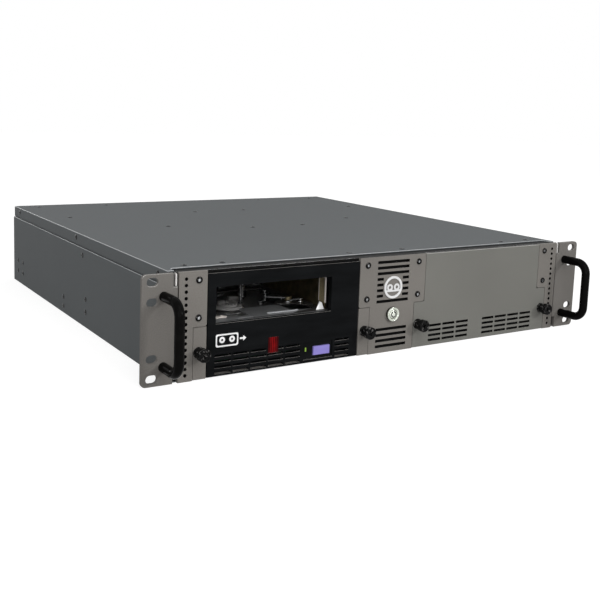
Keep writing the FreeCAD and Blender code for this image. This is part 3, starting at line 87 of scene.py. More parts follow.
class Finish:  # a material, or a world, whose nodes all come from one method
    def __init__(self, name, kind="materials"):
        self.owner = getattr(bpy.data, kind).new(name)
        self.owner.use_nodes = True
        self.tree = self.owner.node_tree
        self.tree.nodes.clear()
        self.place = self.node("ShaderNodeTexCoord", output="Object")

    def node(self, kind, sockets=None, output=0, **settings):
        made = self.tree.nodes.new(kind)
        for key, value in settings.items():
            if key == "stops":
                self.setStops(made.color_ramp, value)
            else:
                setattr(made, key, value)
        for key, value in (sockets or {}).items():
            if isinstance(value, Value):
                self.tree.links.new(value.socket, made.inputs[key])
            else:
                made.inputs[key].default_value = value
        return Value(self, made.outputs[output]) if len(made.outputs) else made

    def setStops(self, ramp, stops):
        while len(ramp.elements) < len(stops):
            ramp.elements.new(0.5)
        for element, (position, level) in zip(ramp.elements, stops):
            element.position = position
            element.color = (level, level, level, 1)

    def math(self, operation, first, second):
        return self.node("ShaderNodeMath", {0: first, 1: second}, operation=operation)

    def mix(self, factor, first, second):
        return self.node("ShaderNodeMix", {0: factor, 6: first, 7: second}, 2, data_type="RGBA")

    def noise(self, scale, detail=2.0, stretch=None):
        place = self.place
        if stretch:
            place = self.node("ShaderNodeMapping", {"Vector": place, "Scale": stretch})
        return self.node("ShaderNodeTexNoise", {"Vector": place, "Scale": scale, "Detail": detail})

    def steps(self, value, *stops):
        return self.node("ShaderNodeValToRGB", {"Fac": value}, stops=stops)

    def bump(self, height, strength, distance):
        sockets = {"Height": height, "Strength": strength, "Distance": distance * mm}
        return self.node("ShaderNodeBump", sockets)

    def shade(self, colour, roughness, normal=None, **fixed):
        sockets = {"Base Color": colour, "Roughness": roughness}
        if normal:
            sockets["Normal"] = normal
        for key, value in fixed.items():
            sockets[key.replace("_", " ")] = value
        shader = self.node("ShaderNodeBsdfPrincipled", sockets)
        self.node("ShaderNodeOutputMaterial", {"Surface": shader})
        return self.owner


def grey(level, warmth=0.0):  # a grey that leans to brown, or to blue below 0
    return (level * (1 + warmth), level, level * (1 - warmth), 1)


def powderCoat(name, light, dark, roughness, grain=0.35, shine=0.25):  # sprayed enamel, orange-peel skin
    finish = Finish(name)
    cloud = finish.noise(14.0, 3.0)
    speck = finish.noise(1500.0, 2.0)
    peel = finish.noise(900.0, 2.0)
    colour = finish.mix(finish.steps(cloud * 0.2 + speck * 0.8, (0.38, 0), (0.62, 1)), dark, light)
    rough = roughness + (speck - 0.5) * 0.22 + (cloud - 0.5) * 0.1
    return finish.shade(colour, rough, finish.bump(peel * 0.6 + speck * 0.4, grain, 0.05),
                        Specular_IOR_Level=shine)


def mouldedPlastic(name, light, dark, roughness, grain=0.3, shine=0.3):  # spark-eroded texture off the tool
    finish = Finish(name)
    pits = finish.noise(3200.0, 3.0)
    flow = finish.noise(30.0, 2.0, (1, 1, 4))
    colour = finish.mix(finish.steps(flow, (0.3, 0), (0.7, 1)), dark, light)
    rough = roughness + (pits - 0.5) * 0.25
    return finish.shade(colour, rough, finish.bump(pits, grain, 0.03), Specular_IOR_Level=shine)


def glossEnamel(name, colour, dust):  # smooth dipped enamel, with faint dust where hands don't rub
    finish = Finish(name)
    smear = finish.noise(120.0, 4.0)
    wave = finish.noise(260.0, 1.0)
    spot = finish.steps(smear, (0.52, 0), (0.75, 1))
    return finish.shade(finish.mix(spot * 0.3, colour, dust), 0.08 + smear * 0.1,
                        finish.bump(wave, 0.12, 0.05), Specular_IOR_Level=0.02)


def sheetMetal(name, light, dark, roughness, stretch=(1, 60, 60)):  # rolled and plated, with long drawn lines
    finish = Finish(name)
    lines = finish.noise(60.0, 4.0, stretch)
    spangle = finish.noise(160.0, 1.0)
    colour = finish.mix(finish.steps(lines * 0.5 + spangle * 0.5, (0.35, 0), (0.65, 1)), dark, light)
    return finish.shade(colour, roughness + (lines - 0.5) * 0.3, finish.bump(lines, 0.15, 0.02),
                        Metallic=1.0)


def turnedMetal(name, light, dark, roughness):  # fine tool rings and a little handling wear
    finish = Finish(name)
    rings = finish.noise(900.0, 2.0, (1, 8, 1))
    wear = finish.noise(80.0, 3.0)
    colour = finish.mix(finish.steps(wear, (0.35, 0), (0.65, 1)), dark, light)
    return finish.shade(colour, roughness + (rings - 0.5) * 0.18, finish.bump(rings, 0.12, 0.02),
                        Metallic=1.0)


def blackOxide(name):  # oiled black steel: lighter flecks where the coat is thin, also standing as painted glints
    finish = Finish(name)
    thinCoatGlints = finish.steps(finish.noise(420.0, 3.0), (0.58, 0), (0.66, 1))
    fine = finish.noise(2500.0, 2.0)
    colour = finish.mix(thinCoatGlints * 0.7, (0.003, 0.003, 0.003, 1), (0.16, 0.155, 0.15, 1))
    return finish.shade(colour, 0.22 + (fine - 0.5) * 0.2, finish.bump(fine, 0.15, 0.02),
                        Specular_IOR_Level=0.07)


def castMetal(name):  # sand-blasted casting with soft mottling
    finish = Finish(name)
    blast = finish.noise(1500.0, 3.0)
    patch = finish.noise(35.0, 3.0)
    colour = finish.mix(finish.steps(patch, (0.35, 0), (0.65, 1)), grey(0.2), grey(0.27))
    return finish.shade(colour, 0.42 + (blast - 0.5) * 0.3, finish.bump(blast, 0.4, 0.05),
                        Metallic=0.3)


def clearLens(name, node, deep, bright, glow):  # tinted window, painted lighter across its middle and darker at its sides as shade on a rounded face, glowing by emission
    finish = Finish(name)
    low, high = spanOf(node)
    middle, half = (low.x + high.x) / 2 * mm, (high.x - low.x) / 2 * mm
    across = finish.node("ShaderNodeSeparateXYZ", {"Vector": finish.place})
    roundShade = finish.steps(finish.math("ABSOLUTE", (across - middle) * (1 / half), 0.0), (0.25, 1), (0.95, 0.08))
    cloud = finish.noise(180.0, 2.0)
    ribs = finish.node("ShaderNodeTexWave", {"Vector": finish.place, "Scale": 180.0, "Distortion": 0.4},
                       bands_direction="X")
    colour = finish.mix(finish.steps(cloud * 0.6 + ribs * 0.4, (0.2, 0), (0.8, 1)) * roundShade, deep, bright)
    return finish.shade(colour, 0.12 + cloud * 0.06, finish.bump(ribs, 0.1, 0.05),
                        Specular_IOR_Level=0.05, Emission_Color=colour, Emission_Strength=glow)


def boardMask(name):  # green lacquer over etched tracks
    finish = Finish(name)
    weave = finish.noise(800.0, 1.0, (1, 3, 1))
    tracks = finish.node("ShaderNodeTexBrick", {
        "Vector": finish.place, "Color1": grey(0), "Color2": grey(0.4), "Mortar": grey(1), "Scale": 420.0,
        "Mortar Size": 0.06, "Brick Width": 1.7, "Row Height": 0.4}, "Fac", offset=0.5)
    colour = finish.mix(tracks * 0.55 + weave * 0.2, (0.008, 0.07, 0.028, 1), (0.04, 0.2, 0.075, 1))
    return finish.shade(colour, 0.3 + weave * 0.12, finish.bump(tracks, 0.2, 0.04), Coat_Weight=0.4)


finishes = {
    "chassis_paint": powderCoat("chassisPaint", (0.127, 0.136, 0.139, 1), (0.1, 0.107, 0.111, 1), 0.55,
                                shine=0.02),
    "plate_paint": powderCoat("platePaint", (0.195, 0.184, 0.169, 1), (0.138, 0.129, 0.119, 1), 0.48,
                              shine=0.04),
    "ear_paint": powderCoat("earPaint", (0.168, 0.159, 0.148, 1), (0.12, 0.113, 0.105, 1), 0.48, shine=0.04),
    "module_paint": powderCoat("modulePaint", (0.178, 0.176, 0.161, 1), (0.13, 0.129, 0.118, 1), 0.48,
                               shine=0.06),
    "frame_black": powderCoat("framePaint", grey(0.008), grey(0.005), 0.45, 0.3, 0.02),
    "handle_black": glossEnamel("handleEnamel", grey(0.003, 0.05), grey(0.012, 0.05)),
    "black_oxide": blackOxide("blackOxide"),
    "emblem_white": mouldedPlastic("emblemWhite", grey(0.68), grey(0.6), 0.35, 0.05, 0.4),
    "switch_metal": turnedMetal("switchMetal", (0.72, 0.75, 0.68, 1), (0.5, 0.53, 0.47, 1), 0.16),
    "bezel_black": mouldedPlastic("bezelBlack", (0.007, 0.0076, 0.0082, 1), (0.004, 0.0043, 0.0046, 1), 0.45,
                                  shine=0.015),
    "window_red": clearLens("windowRed", "red_window", (0.012, 0.0, 0.0005, 1),
                            (0.2, 0.002, 0.003, 1), 0.25),
    "lamp_green": clearLens("lampGreen", "status_lamp", (0.05, 0.11, 0.015, 1),
                            (0.34, 0.5, 0.08, 1), 0.4),
    "key_violet": mouldedPlastic("keyViolet", (0.25, 0.215, 0.56, 1), (0.2, 0.17, 0.46, 1), 0.35, 0.15, 0.2),
    "cast_deck": castMetal("castDeck"),
    "zinc_sheet": sheetMetal("zincSheet", grey(0.56, -0.02), grey(0.46, -0.02), 0.36),
    "gold_sheet": sheetMetal("goldSheet", (0.3, 0.25, 0.15, 1), (0.17, 0.14, 0.08, 1), 0.4),
    "dark_sheet": powderCoat("darkSheet", grey(0.03, 0.05), grey(0.018, 0.05), 0.4, 0.2, 0.2),
    "sill_grey": powderCoat("sillGrey", grey(0.15, -0.02), grey(0.1, -0.02), 0.35, 0.2, 0.4),
    "clutch_grey": mouldedPlastic("clutchGrey", grey(0.5, 0.02), grey(0.32, 0.02), 0.3, 0.15, 0.5),
    "turned_steel": turnedMetal("turnedSteel", grey(0.7), grey(0.5), 0.2),
    "board_green": boardMask("boardGreen"),
    "moulded_black": mouldedPlastic("mouldedBlack", grey(0.02), grey(0.012), 0.45),
    "reel_grey": mouldedPlastic("reelGrey", grey(0.2), grey(0.15), 0.4, 0.2),
    # bright finishes below: painted highlights on edges that face upwards
    "plate_edge": powderCoat("plateEdgeHighlight", grey(0.62, 0.03), grey(0.45, 0.03), 0.35, 0.1, 0.4),
    "chassis_edge": powderCoat("chassisEdgeHighlight", grey(0.42, -0.03), grey(0.3, -0.03), 0.35, 0.1, 0.4),
    "frame_edge": sheetMetal("frameEdgeHighlight", grey(0.8), grey(0.55), 0.3),
    "bezel_edge": mouldedPlastic("bezelEdgeHighlight", grey(0.27, 0.06), grey(0.17, 0.06), 0.35, 0.1, 0.3),
    "flange_brass": powderCoat("flangeBrass", (0.24, 0.2, 0.12, 1), (0.15, 0.12, 0.07, 1), 0.4, 0.1, 0.3),
    "flange_edge": powderCoat("flangeEdge", grey(0.6, 0.08), grey(0.48, 0.08), 0.3, 0.1, 0.5),
    "label_white": mouldedPlastic("labelWhite", grey(0.85), grey(0.7), 0.4, 0.1),
    "contact_gold": turnedMetal("contactGold", (0.83, 0.62, 0.28, 1), (0.66, 0.48, 0.2, 1), 0.22),
    "tape_brown": mouldedPlastic("tapeBrown", (0.05, 0.036, 0.028, 1), (0.03, 0.022, 0.017, 1), 0.25, 0.05,
                                 0.5),
}
for node, piece in frame["nodes"].items():
    piece.data.materials.clear()
    piece.data.materials.append(finishes[slotOf[node]])
print("finishes made:", len(finishes))


facings = {  # how a piece made about Z is turned to face each way
    "up": (0, 0, 0), "front": (math.pi / 2, 0, 0), "back": (-math.pi / 2, 0, 0),
    "left": (0, -math.pi / 2, 0), "right": (0, math.pi / 2, 0),
}
edges = {"segments": 2, "sharp": 32.0, "smooth": 42}  # a rounded edge, and the angles in degrees that count
weld = 0.01  # points nearer than this are one


def only(*pieces):  # object mode, with just these pieces selected
    if bpy.context.object and bpy.context.object.mode != "OBJECT":
        bpy.ops.object.mode_set(mode="OBJECT")
    bpy.ops.object.select_all(action="DESELECT")
    for piece in pieces:
        piece.select_set(True)
    if pieces:
        bpy.context.view_layer.objects.active = pieces[0]


def begin(kind, **settings):  # a new primitive, alone
    only()
    getattr(bpy.ops.mesh, "primitive_%s_add" % kind)(**settings)
    return bpy.context.object


def opened(piece):  # edit mode, with the whole piece selected
    only(piece)
    bpy.ops.object.mode_set(mode="EDIT")
    bpy.ops.mesh.select_all(action="SELECT")


def closed(joins=True, holes=0):  # ends an edit with every face turned outwards
    bpy.ops.mesh.select_all(action="SELECT")
    if joins:
        bpy.ops.mesh.remove_doubles(threshold=weld * mm)
    if holes:
        bpy.ops.mesh.fill_holes(sides=holes)
    bpy.ops.mesh.normals_make_consistent(inside=False)
    bpy.ops.object.mode_set(mode="OBJECT")


def pick(piece, test):  # edit mode, with the faces that pass the test selected
    only(piece)
    bpy.ops.object.mode_set(mode="EDIT")
    bpy.ops.mesh.select_mode(type="FACE")
    bpy.ops.mesh.select_all(action="DESELECT")
    bpy.ops.object.mode_set(mode="OBJECT")
    for face in piece.data.polygons:
        face.select = test(face.center / mm, face.normal)
    bpy.ops.object.mode_set(mode="EDIT")


def columnOf(at, count):  # which of the equal columns about Z a point stands in
    return int((math.atan2(at.y, at.x) + math.pi) / (2 * math.pi / count))


def pressed(piece, test, rim, depth, each):  # sinks the faces that pass the test, each alone or all as one
    pick(piece, test)
    bpy.ops.mesh.inset(thickness=rim * mm, depth=-depth * mm, use_individual=each)
    bpy.ops.object.mode_set(mode="OBJECT")


def applied(piece, kind, **settings):  # adds a modifier and applies it at once
    only(piece)
    modifier = piece.modifiers.new(kind.lower(), kind)
    for key, value in settings.items():
        setattr(modifier, key, value)
    bpy.ops.object.modifier_apply(modifier=modifier.name)
    return piece


def softened(piece, width, edgeHighlight=-1):  # rounded edges with clean flats between
    applied(piece, "BEVEL", width=width * mm, segments=edges["segments"], limit_method="ANGLE",
            angle_limit=math.radians(edges["sharp"]), use_clamp_overlap=True, material=edgeHighlight)
    only(piece)
    bpy.ops.object.shade_smooth_by_angle(angle=math.radians(edges["smooth"]))
    return applied(piece, "WEIGHTED_NORMAL", keep_sharp=True)


def coated(piece, *slots):
    piece.data.materials.clear()
    for slot in slots:
        piece.data.materials.append(finishes[slot])
    return piece


def settled(piece):  # its turn and its place go into its mesh
    only(piece)
    bpy.ops.object.transform_apply(location=True, rotation=True, scale=True)
    return piece


def laid(piece, place, facing="up", turn=0.0):  # turns a piece from its own Z and sets it in place
    own = Matrix.Rotation(math.radians(turn), 3, "Z")
    piece.rotation_euler = (Euler(facings[facing]).to_matrix() @ own).to_euler()
    piece.location = Vector(place) * mm
    return settled(piece)


def joined(*pieces):
    only(*pieces)
    bpy.ops.object.join()
    return pieces[0]


def cutBy(piece, *cutters):
    for cutter in cutters:
        applied(piece, "BOOLEAN", operation="DIFFERENCE", solver="EXACT", object=cutter)
        bpy.data.objects.remove(cutter)
    return piece


def finished(piece, name, body, slot, *nodes):  # in place, named, painted and carried
    settled(piece).name = name
    if not len(piece.data.materials):
        coated(piece, slot)
    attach(piece, body)
    if nodes:
        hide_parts(*nodes)
    return piece


def copyOf(piece):  # a copy with a mesh of its own
    twin = bpy.data.objects.new("copy", piece.data.copy())
    bpy.context.scene.collection.objects.link(twin)
    return twin


def repeated(pattern, places, name, body, slot, *nodes):  # one copy at each place, given with its facing
    for number, (place, facing) in enumerate(places, 1):
        finished(laid(copyOf(pattern), place, facing), "%s_%d" % (name, number), body, slot, *nodes)
    bpy.data.objects.remove(pattern)


def pull(step):  # extrudes what is selected
    bpy.ops.mesh.extrude_region_move(TRANSFORM_OT_translate={"value": step})


def traced(points, filled):  # a wire drawn point by point from one corner
    piece = begin("plane", size=mm)
    bpy.ops.object.mode_set(mode="EDIT")
    bpy.ops.mesh.select_mode(type="VERT")
    bpy.ops.mesh.select_all(action="SELECT")
    bpy.ops.mesh.merge(type="CENTER")
    bpy.ops.transform.translate(value=Vector(points[0]) * mm)
    for before, after in zip(points, points[1:]):
        pull((Vector(after) - Vector(before)) * mm)
    if filled:
        bpy.ops.mesh.select_all(action="SELECT")
        bpy.ops.mesh.edge_face_add()
    return piece


def turned(profile, steps):  # a half outline of (radius, height) points spun about Z
    piece = traced([(radius, 0, height) for radius, height in profile], False)
    bpy.ops.mesh.select_all(action="SELECT")
    bpy.ops.mesh.spin(steps=steps, angle=2 * math.pi, center=(0, 0, 0), axis=(0, 0, 1))
    closed()
    return piece


def raised(outline, low, high):  # a flat outline of (x, y) points given a thickness along Z
    piece = traced([(x, y, low) for x, y in outline], True)
    pull((0, 0, (high - low) * mm))
    closed(joins=False)
    return piece


def slab(low, high, edge=0.2):  # a bar between two corners, with rounded edges
    low, high = Vector(low), Vector(high)
    piece = begin("cube", size=mm, location=(low + high) / 2 * mm)
    piece.scale = high - low
    settled(piece)
    return softened(piece, edge) if edge else piece


cleaning = {"weld": 0.002, "flat": 0.5}  # for a CAD mesh: its own weld, and what counts as flat


def mergedCopy(node):  # a CAD node's mesh as one clean skin
    piece = copyOf(frame["nodes"][node])
    piece.data.materials.clear()
    opened(piece)
    bpy.ops.mesh.remove_doubles(threshold=cleaning["weld"] * mm)
    bpy.ops.mesh.dissolve_limited(angle_limit=math.radians(cleaning["flat"]))
    bpy.ops.object.mode_set(mode="OBJECT")
    return piece


def repaint(piece, index, test):  # gives the faces that pass the test another of the piece's finishes
    for face in piece.data.polygons:
        if test(face.center / mm, face.normal, face.material_index):
            face.material_index = index


otherPaints = {"blank_panel": "module_paint", "left_ear": "ear_paint", "right_ear": "ear_paint"}
# the band below a piece's top whose upward edges get a painted highlight
edgeHighlightBand = {"reach": 14.0, "flat": 0.25}  # how far down from its top, and how far from level


def dressed(node, width, edgeHighlight=None, dark=None):  # the CAD shape with its real edge radii
    slot = slotOf[node]
    paint = otherPaints.get(node, slot)  # a few differ from the rest of their slot
    piece = coated(mergedCopy(node), paint, edgeHighlight or paint, "frame_black")
    softened(piece, width, edgeHighlight=1 if edgeHighlight else -1)
    if edgeHighlight:  # edges that face upwards get a painted highlight: all the bezel's, and the top edge elsewhere
        lowest = 0 if node == "drive_bezel" else spanOf(node)[1].z - edgeHighlightBand["reach"]
        repaint(piece, 0, lambda at, normal, index:
                index == 1 and (normal.z < edgeHighlightBand["flat"] or at.z < lowest))
    if dark:  # the walls of small holes are in shade
        repaint(piece, 2, lambda at, normal, index: abs(normal.y) < 0.3 and at.y > frontY + 0.3 and dark(at))
    return finished(piece, node + "_skin", bodyOf[node], slot, node)


# edge radii; a bright finish that paints highlights on edges facing up; and where a front piece's small holes
# are, whose walls get painted shade
skins = {
    "left_plate": (0.15, "plate_edge", lambda at: 202.6 < abs(at.x) < 206.0),
    "right_plate": (0.15, "plate_edge", lambda at: 202.6 < abs(at.x) < 206.0),
    "centre_plate": (0.15, "plate_edge", lambda at: abs(at.x) < 19.0),
    "blank_panel": (0.15, "plate_edge", lambda at: at.z < 21.0 and 30.0 < at.x < 193.0),
    "left_ear": (0.4, "plate_edge"), "right_ear": (0.4, "plate_edge"),
    "front_frame": (0.35, "frame_edge"), "base_tray": (0.3, "chassis_edge"),
    "top_cover": (0.4, "chassis_edge"), "rear_panel": (0.2,), "badge": (0.25,), "module_tray": (0.2,),
    "drive_bezel": (0.25, "bezel_edge"), "eject_button": (0.3,), "drive_base": (0.4,), "drive_lid": (0.2,),
    "head_assembly": (0.5,), "leader_arm": (0.3,), "power_supply": (0.4,), "mains_inlet": (0.4,),
    "mains_rocker": (0.4,), "bay_divider": (0.2,), "side_rails": (0.2,), "fan_frames": (0.4,),
    "fan_rotor_1": (0.3,), "fan_rotor_2": (0.3,),
    "motors": (0.4,), "controller_board": (0.15,), "backplane_board": (0.15,), "module_connector": (0.2,),
    "interface_board": (0.15,), "red_window": (0.2,), "status_lamp": (0.15,),
}
for node, details in skins.items():
    dressed(node, *details)
print("edges rounded:", len(skins))


handleBar = {"radius": 4.0, "bend": 11.0, "steps": 12, "sides": 36, "inset": 1.2}


def carryHandle(node):  # a round bar pulled out, bent down and back again
    low, high = spanOf(node)
    centre = (low.x + high.x) / 2
    bend, inward = handleBar["bend"], handleBar["inset"] + handleBar["radius"]
    top, bottom, grip = high.z - inward, low.z + inward, low.y + inward
    piece = begin("circle", vertices=handleBar["sides"], radius=handleBar["radius"] * mm, fill_type="NOTHING",
                  location=Vector((centre, frontY, top)) * mm, rotation=facings["front"])
    settled(piece)
    bpy.ops.object.mode_set(mode="EDIT")
    bpy.ops.mesh.select_all(action="SELECT")
    run = (grip + bend - frontY) * mm
    drop = (top - bottom - 2 * bend) * mm
    for step, height in (((0, run, 0), top - bend), ((0, 0, -drop), bottom + bend)):
        pull(step)
        bpy.ops.mesh.spin(steps=handleBar["steps"], angle=-math.pi / 2, axis=(1, 0, 0),
                          center=Vector((centre, grip + bend, height)) * mm)
    pull((0, -run, 0))
    closed(holes=handleBar["sides"])
    only(piece)
    bpy.ops.object.shade_smooth_by_angle(angle=math.radians(50))
    finished(piece, node + "_bar", bodyOf[node], "handle_black", node)


def crossCutters(reach, width, top, depth):  # two blades that cut a cross recess
    return [slab((-a, -b, top - depth), (a, b, top + 1), 0) for a, b in ((reach, width), (width, reach))]


def hexBar(radius, depth, height):  # cuts a socket into a head, or makes a nut
    return begin("cylinder", vertices=6, radius=radius * mm, depth=depth * mm, location=(0, 0, height * mm))


plateScrew = {
    "profile": [(0, -7.0), (1.6, -7.0), (1.9, -6.6), (1.9, 0), (2.85, 0), (2.85, 0.35), (2.6, 0.85),
        (2.15, 1.2), (1.75, 1.4), (0, 1.4)],
    "height": 1.4, "socket": 1.45, "cut": 2.2,
}
sheetScrew = {"radius": 2.6, "height": 0.5}
handleScrew = {"radius": 4.3, "height": 3.0, "chamfer": 0.4}


def buttonHead():  # a low round head with a bare hexagon socket, and its threaded shank
    piece = turned(plateScrew["profile"], 32)
    cutBy(piece, hexBar(plateScrew["socket"], plateScrew["cut"], plateScrew["height"]))
    coated(softened(piece, 0.1), "black_oxide", "zinc_sheet")
    repaint(piece, 1, lambda at, normal, index: normal.z > 0.8 and at.xy.length < 1.3 and at.z < 1.0)
    return piece


def panHead():  # a small pressed head with a cross recess
    radius, height = sheetScrew.values()
    piece = turned([(0, 0), (radius, 0), (radius, height * 0.35), (radius * 0.86, height * 0.8),
                    (radius * 0.55, height), (0, height)], 28)
    return softened(cutBy(piece, *crossCutters(radius * 0.5, radius * 0.13, height, height * 0.7)), 0.05)


def capHead():  # a tall cap with a hexagon socket
    radius, height, chamfer = handleScrew.values()
    piece = turned([(0, 0), (radius, 0), (radius, height - chamfer), (radius - chamfer, height), (0, height)],
                   32)
    return softened(cutBy(piece, hexBar(radius * 0.55, height * 1.2, height)), 0.15)


def looseBoxes(node):  # the two corners of each separate solid in a group
    opened(mergedCopy(node))
    bpy.ops.mesh.separate(type="LOOSE")
    bpy.ops.object.mode_set(mode="OBJECT")
    found = []
    for part in list(bpy.context.selected_objects):
        points = [point.co / mm for point in part.data.vertices]
        found.append(tuple(tuple(end(point[axis] for point in points) for axis in range(3))
                           for end in (min, max)))
        bpy.data.objects.remove(part)
    return [(Vector(low), Vector(high)) for low, high in sorted(found)]


def screwPlaces(node):  # where each small screw stands on its sheet, and which way it faces
    found = []
    for low, high in looseBoxes(node):
        size, place = high - low, (low + high) / 2
        axis = min(range(3), key=lambda k: size[k])
        if size[axis] < 1.0:  # only a sheet's flat screws are this thin
            facing = ("right" if place.x > 0 else "left") if axis == 0 else "up"
            place[axis] = high[axis] if facing == "left" else low[axis]
        else:
            facing = "back"
            place.y = low.y
        found.append((place, facing))
    return found


knob = {  # heights count from the knob's back
    "profile": [(0, -15.3), (1.6, -15.3), (2.0, -14.7), (2.0, 0), (3.9, 0), (5.3, 0.5), (5.45, 0.9),
        (5.45, 1.8), (5.45, 2.7), (5.45, 3.6), (5.2, 3.8), (5.2, 4.2), (5.55, 4.4), (5.55, 5.5), (5.1, 5.95),
        (4.5, 5.95), (4.2, 5.4), (3.9, 4.9), (0, 4.8)],
    "length": 6.0, "sides": 40, "barrel": (0.9, 3.6), "row": 0.9, "groove": 0.14, "knurl": 0.3,
    "cross": (2.5, 0.55, 4.8, 1.4), "turn": 20,
}


def captiveScrew(node):  # a knurled, rimmed knob with a cross recess in its dished face
    low, high = spanOf(node)
    piece = turned(knob["profile"], knob["sides"])
    first, last = knob["barrel"]

    def raisedFace(at, normal):
        row = int((at.z - first) / knob["row"])
        return first < at.z < last and at.xy.length > 5.0 and (columnOf(at, knob["sides"]) + row) % 2 == 0

    pressed(piece, raisedFace, knob["groove"], knob["knurl"], True)
    cutBy(piece, *crossCutters(*knob["cross"]))
    softened(piece, 0.12)
    place = ((low.x + high.x) / 2, low.y + knob["length"], (low.z + high.z) / 2)
    finished(laid(piece, place, "front", knob["turn"]), node + "_knob", bodyOf[node], "black_oxide", node)


collar = {"radius": 4.8, "profile": [(3.3, 0), (4.8, 0), (4.8, 1.2), (4.3, 1.5), (4.3, 3.9), (4.0, 4.7),
                                     (3.5, 5.0), (3.3, 4.8), (3.3, 0)]}


def ferruleCollars(node):  # a flanged collar under each captive screw
    zMiddle = middleOf(node).z
    low, high = spanOf(node)
    pattern = softened(turned(collar["profile"], 36), 0.15)
    places = [((x, frontY, zMiddle), "front") for x in (low.x + collar["radius"], high.x - collar["radius"])]
    repeated(pattern, places, node[:-1] + "_collar", bodyOf[node], slotOf[node], node)


springWasher = {"bore": 2.25, "edge": 0.2, "roll": 0.15, "gap": 0.3}


def retainerRing(node):  # a split spring washer that keeps the screw in its panel
    low, high = spanOf(node)
    bore, edge, roll, gap = springWasher.values()
    rim, thick = (high.x - low.x) / 2, high.y - low.y
    piece = turned([(bore, 0), (rim - edge, 0), (rim, roll), (rim, thick - roll), (rim - edge, thick),
                    (bore, thick), (bore, 0)], 30)
    cutBy(piece, slab((-gap, 1.0, -1), (gap, rim + 1, thick + 1), 0))
    finished(laid(softened(piece, 0.08), ((low.x + high.x) / 2, high.y, (low.z + high.z) / 2), "front"),
             node + "_ring", bodyOf[node], slotOf[node], node)


pushSwitch = {
    "guard": [(4.15, -22.0), (5.8, -22.0), (5.8, 0), (6.4, 0), (6.4, 1.5), (6.6, 1.8), (6.6, 2.4),
        (6.2, 3.1), (5.5, 3.2), (5.2, 2.6), (4.6, 2.5), (4.4, 3.0), (4.15, 2.4), (4.15, -22.0)],
    "cap": [(0, -10.0), (2.0, -10.0), (2.0, 0.5), (3.9, 0.5), (3.9, 2.6), (3.6, 3.0), (3.0, 3.15),
        (3.0, 2.75), (1.9, 2.75), (1.9, 3.3), (1.4, 3.55), (0, 3.65)],
    "nut": (8.0, 3.0, -5.0),
}


def powerSwitch():  # a ringed guard with its nut behind the plate, and the cap that is pressed
    centre = middleOf("power_button")
    place = (centre.x, frontY, centre.z)
    guard = turned(pushSwitch["guard"], 48)
    nut = hexBar(*pushSwitch["nut"])
    coated(softened(guard, 0.08), "switch_metal", "black_oxide")
    # painted shade: the side of the guard's barrel is given black oxide
    repaint(guard, 1, lambda at, normal, index: at.z < 1.65 and at.xy.length > 5.0)
    coated(softened(nut, 0.4), "turned_steel")
    finished(laid(joined(guard, nut), place, "front"), "switch_guard", "chassis", "switch_metal",
             "switch_body")
    cap = turned(pushSwitch["cap"], 48)
    coated(softened(cap, 0.06), "switch_metal", "moulded_black")
    repaint(cap, 1, lambda at, normal, index: 1.7 < at.xy.length < 3.1 and 2.6 < at.z < 3.2)
    finished(laid(cap, place, "front"), "power_cap", bodyOf["power_button"], "switch_metal", "power_button")


for node in ("left_handle", "right_handle"):
    carryHandle(node)
middles = [(low + high) / 2 for low, high in looseBoxes("plate_screws")]
repeated(buttonHead(), [((middle.x, frontY, middle.z), "front") for middle in middles], "plate_screw",
         "chassis", "black_oxide", "plate_screws")
repeated(panHead(), screwPlaces("cover_screws"), "cover_screw", "chassis", "black_oxide", "cover_screws")
sidePlaces = screwPlaces("side_screws")
repeated(panHead(), [place for place in sidePlaces if place[1] != "back"], "wall_screw", "chassis",
         "black_oxide", "side_screws")
repeated(capHead(), [((place.x, frontY + handleScrew["height"], place.z), facing)
                     for place, facing in sidePlaces if facing == "back"],
         "handle_screw", "chassis", "black_oxide", "side_screws")
for number in range(1, 5):
    captiveScrew("thumbscrew_%d" % number)
    retainerRing("retainer_%d" % number)
for node in ("module_ferrules", "blank_ferrules"):
    ferruleCollars(node)
powerSwitch()
print("front hardware done")


clutch = {
    "profile": [(0, 15.0), (3.0, 15.0), (3.0, 31.4), (17.6, 31.4), (18.0, 31.7), (18.0, 32.2), (17.5, 32.5),
        (10.0, 32.5), (9.3, 33.0), (9.3, 34.0), (13.2, 34.0), (13.5, 34.2), (13.5, 36.2), (13.2, 36.4),
        (9.6, 36.4), (9.3, 36.6), (9.3, 38.7), (9.0, 39.0), (6.6, 39.0), (6.3, 38.7), (6.3, 36.4),
        (3.2, 36.4), (2.6, 37.4), (0, 37.6)],
    "sides": 80, "ribs": (34.2, 36.2), "ribEdge": 0.12, "ribDepth": 0.45,
    "crownTeeth": 20, "toothGap": 1.2, "toothFoot": 37.7, "reach": 12,
}


def supplyClutch():  # a toothed crown on a ribbed drum
    piece = turned(clutch["profile"], clutch["sides"])
    low, high = clutch["ribs"]
    pressed(piece, lambda at, normal: low < at.z < high and at.xy.length > 13.0
            and columnOf(at, clutch["sides"]) % 2 == 0, clutch["ribEdge"], clutch["ribDepth"], True)
    half, reach, foot = clutch["toothGap"] / 2, clutch["reach"], clutch["toothFoot"]
    for number in range(clutch["crownTeeth"] // 2):
        cutter = slab((-reach, -half, foot), (reach, half, 40), 0)
        cutBy(piece, laid(cutter, (0, 0, 0), "up", number * 360 / clutch["crownTeeth"]))
    coated(softened(piece, 0.08), "clutch_grey", "turned_steel")
    repaint(piece, 1, lambda at, normal, index: at.z < 33.0 or at.xy.length < 4.0)
    onAxis(piece, "supply_clutch", "clutch_crown")


def onAxis(piece, node, name):  # made about Z at its height, then set on its node's axis
    centre = middleOf(node)
    finished(laid(piece, (centre.x, centre.y, 0)), name, bodyOf[node], slotOf[node], node)


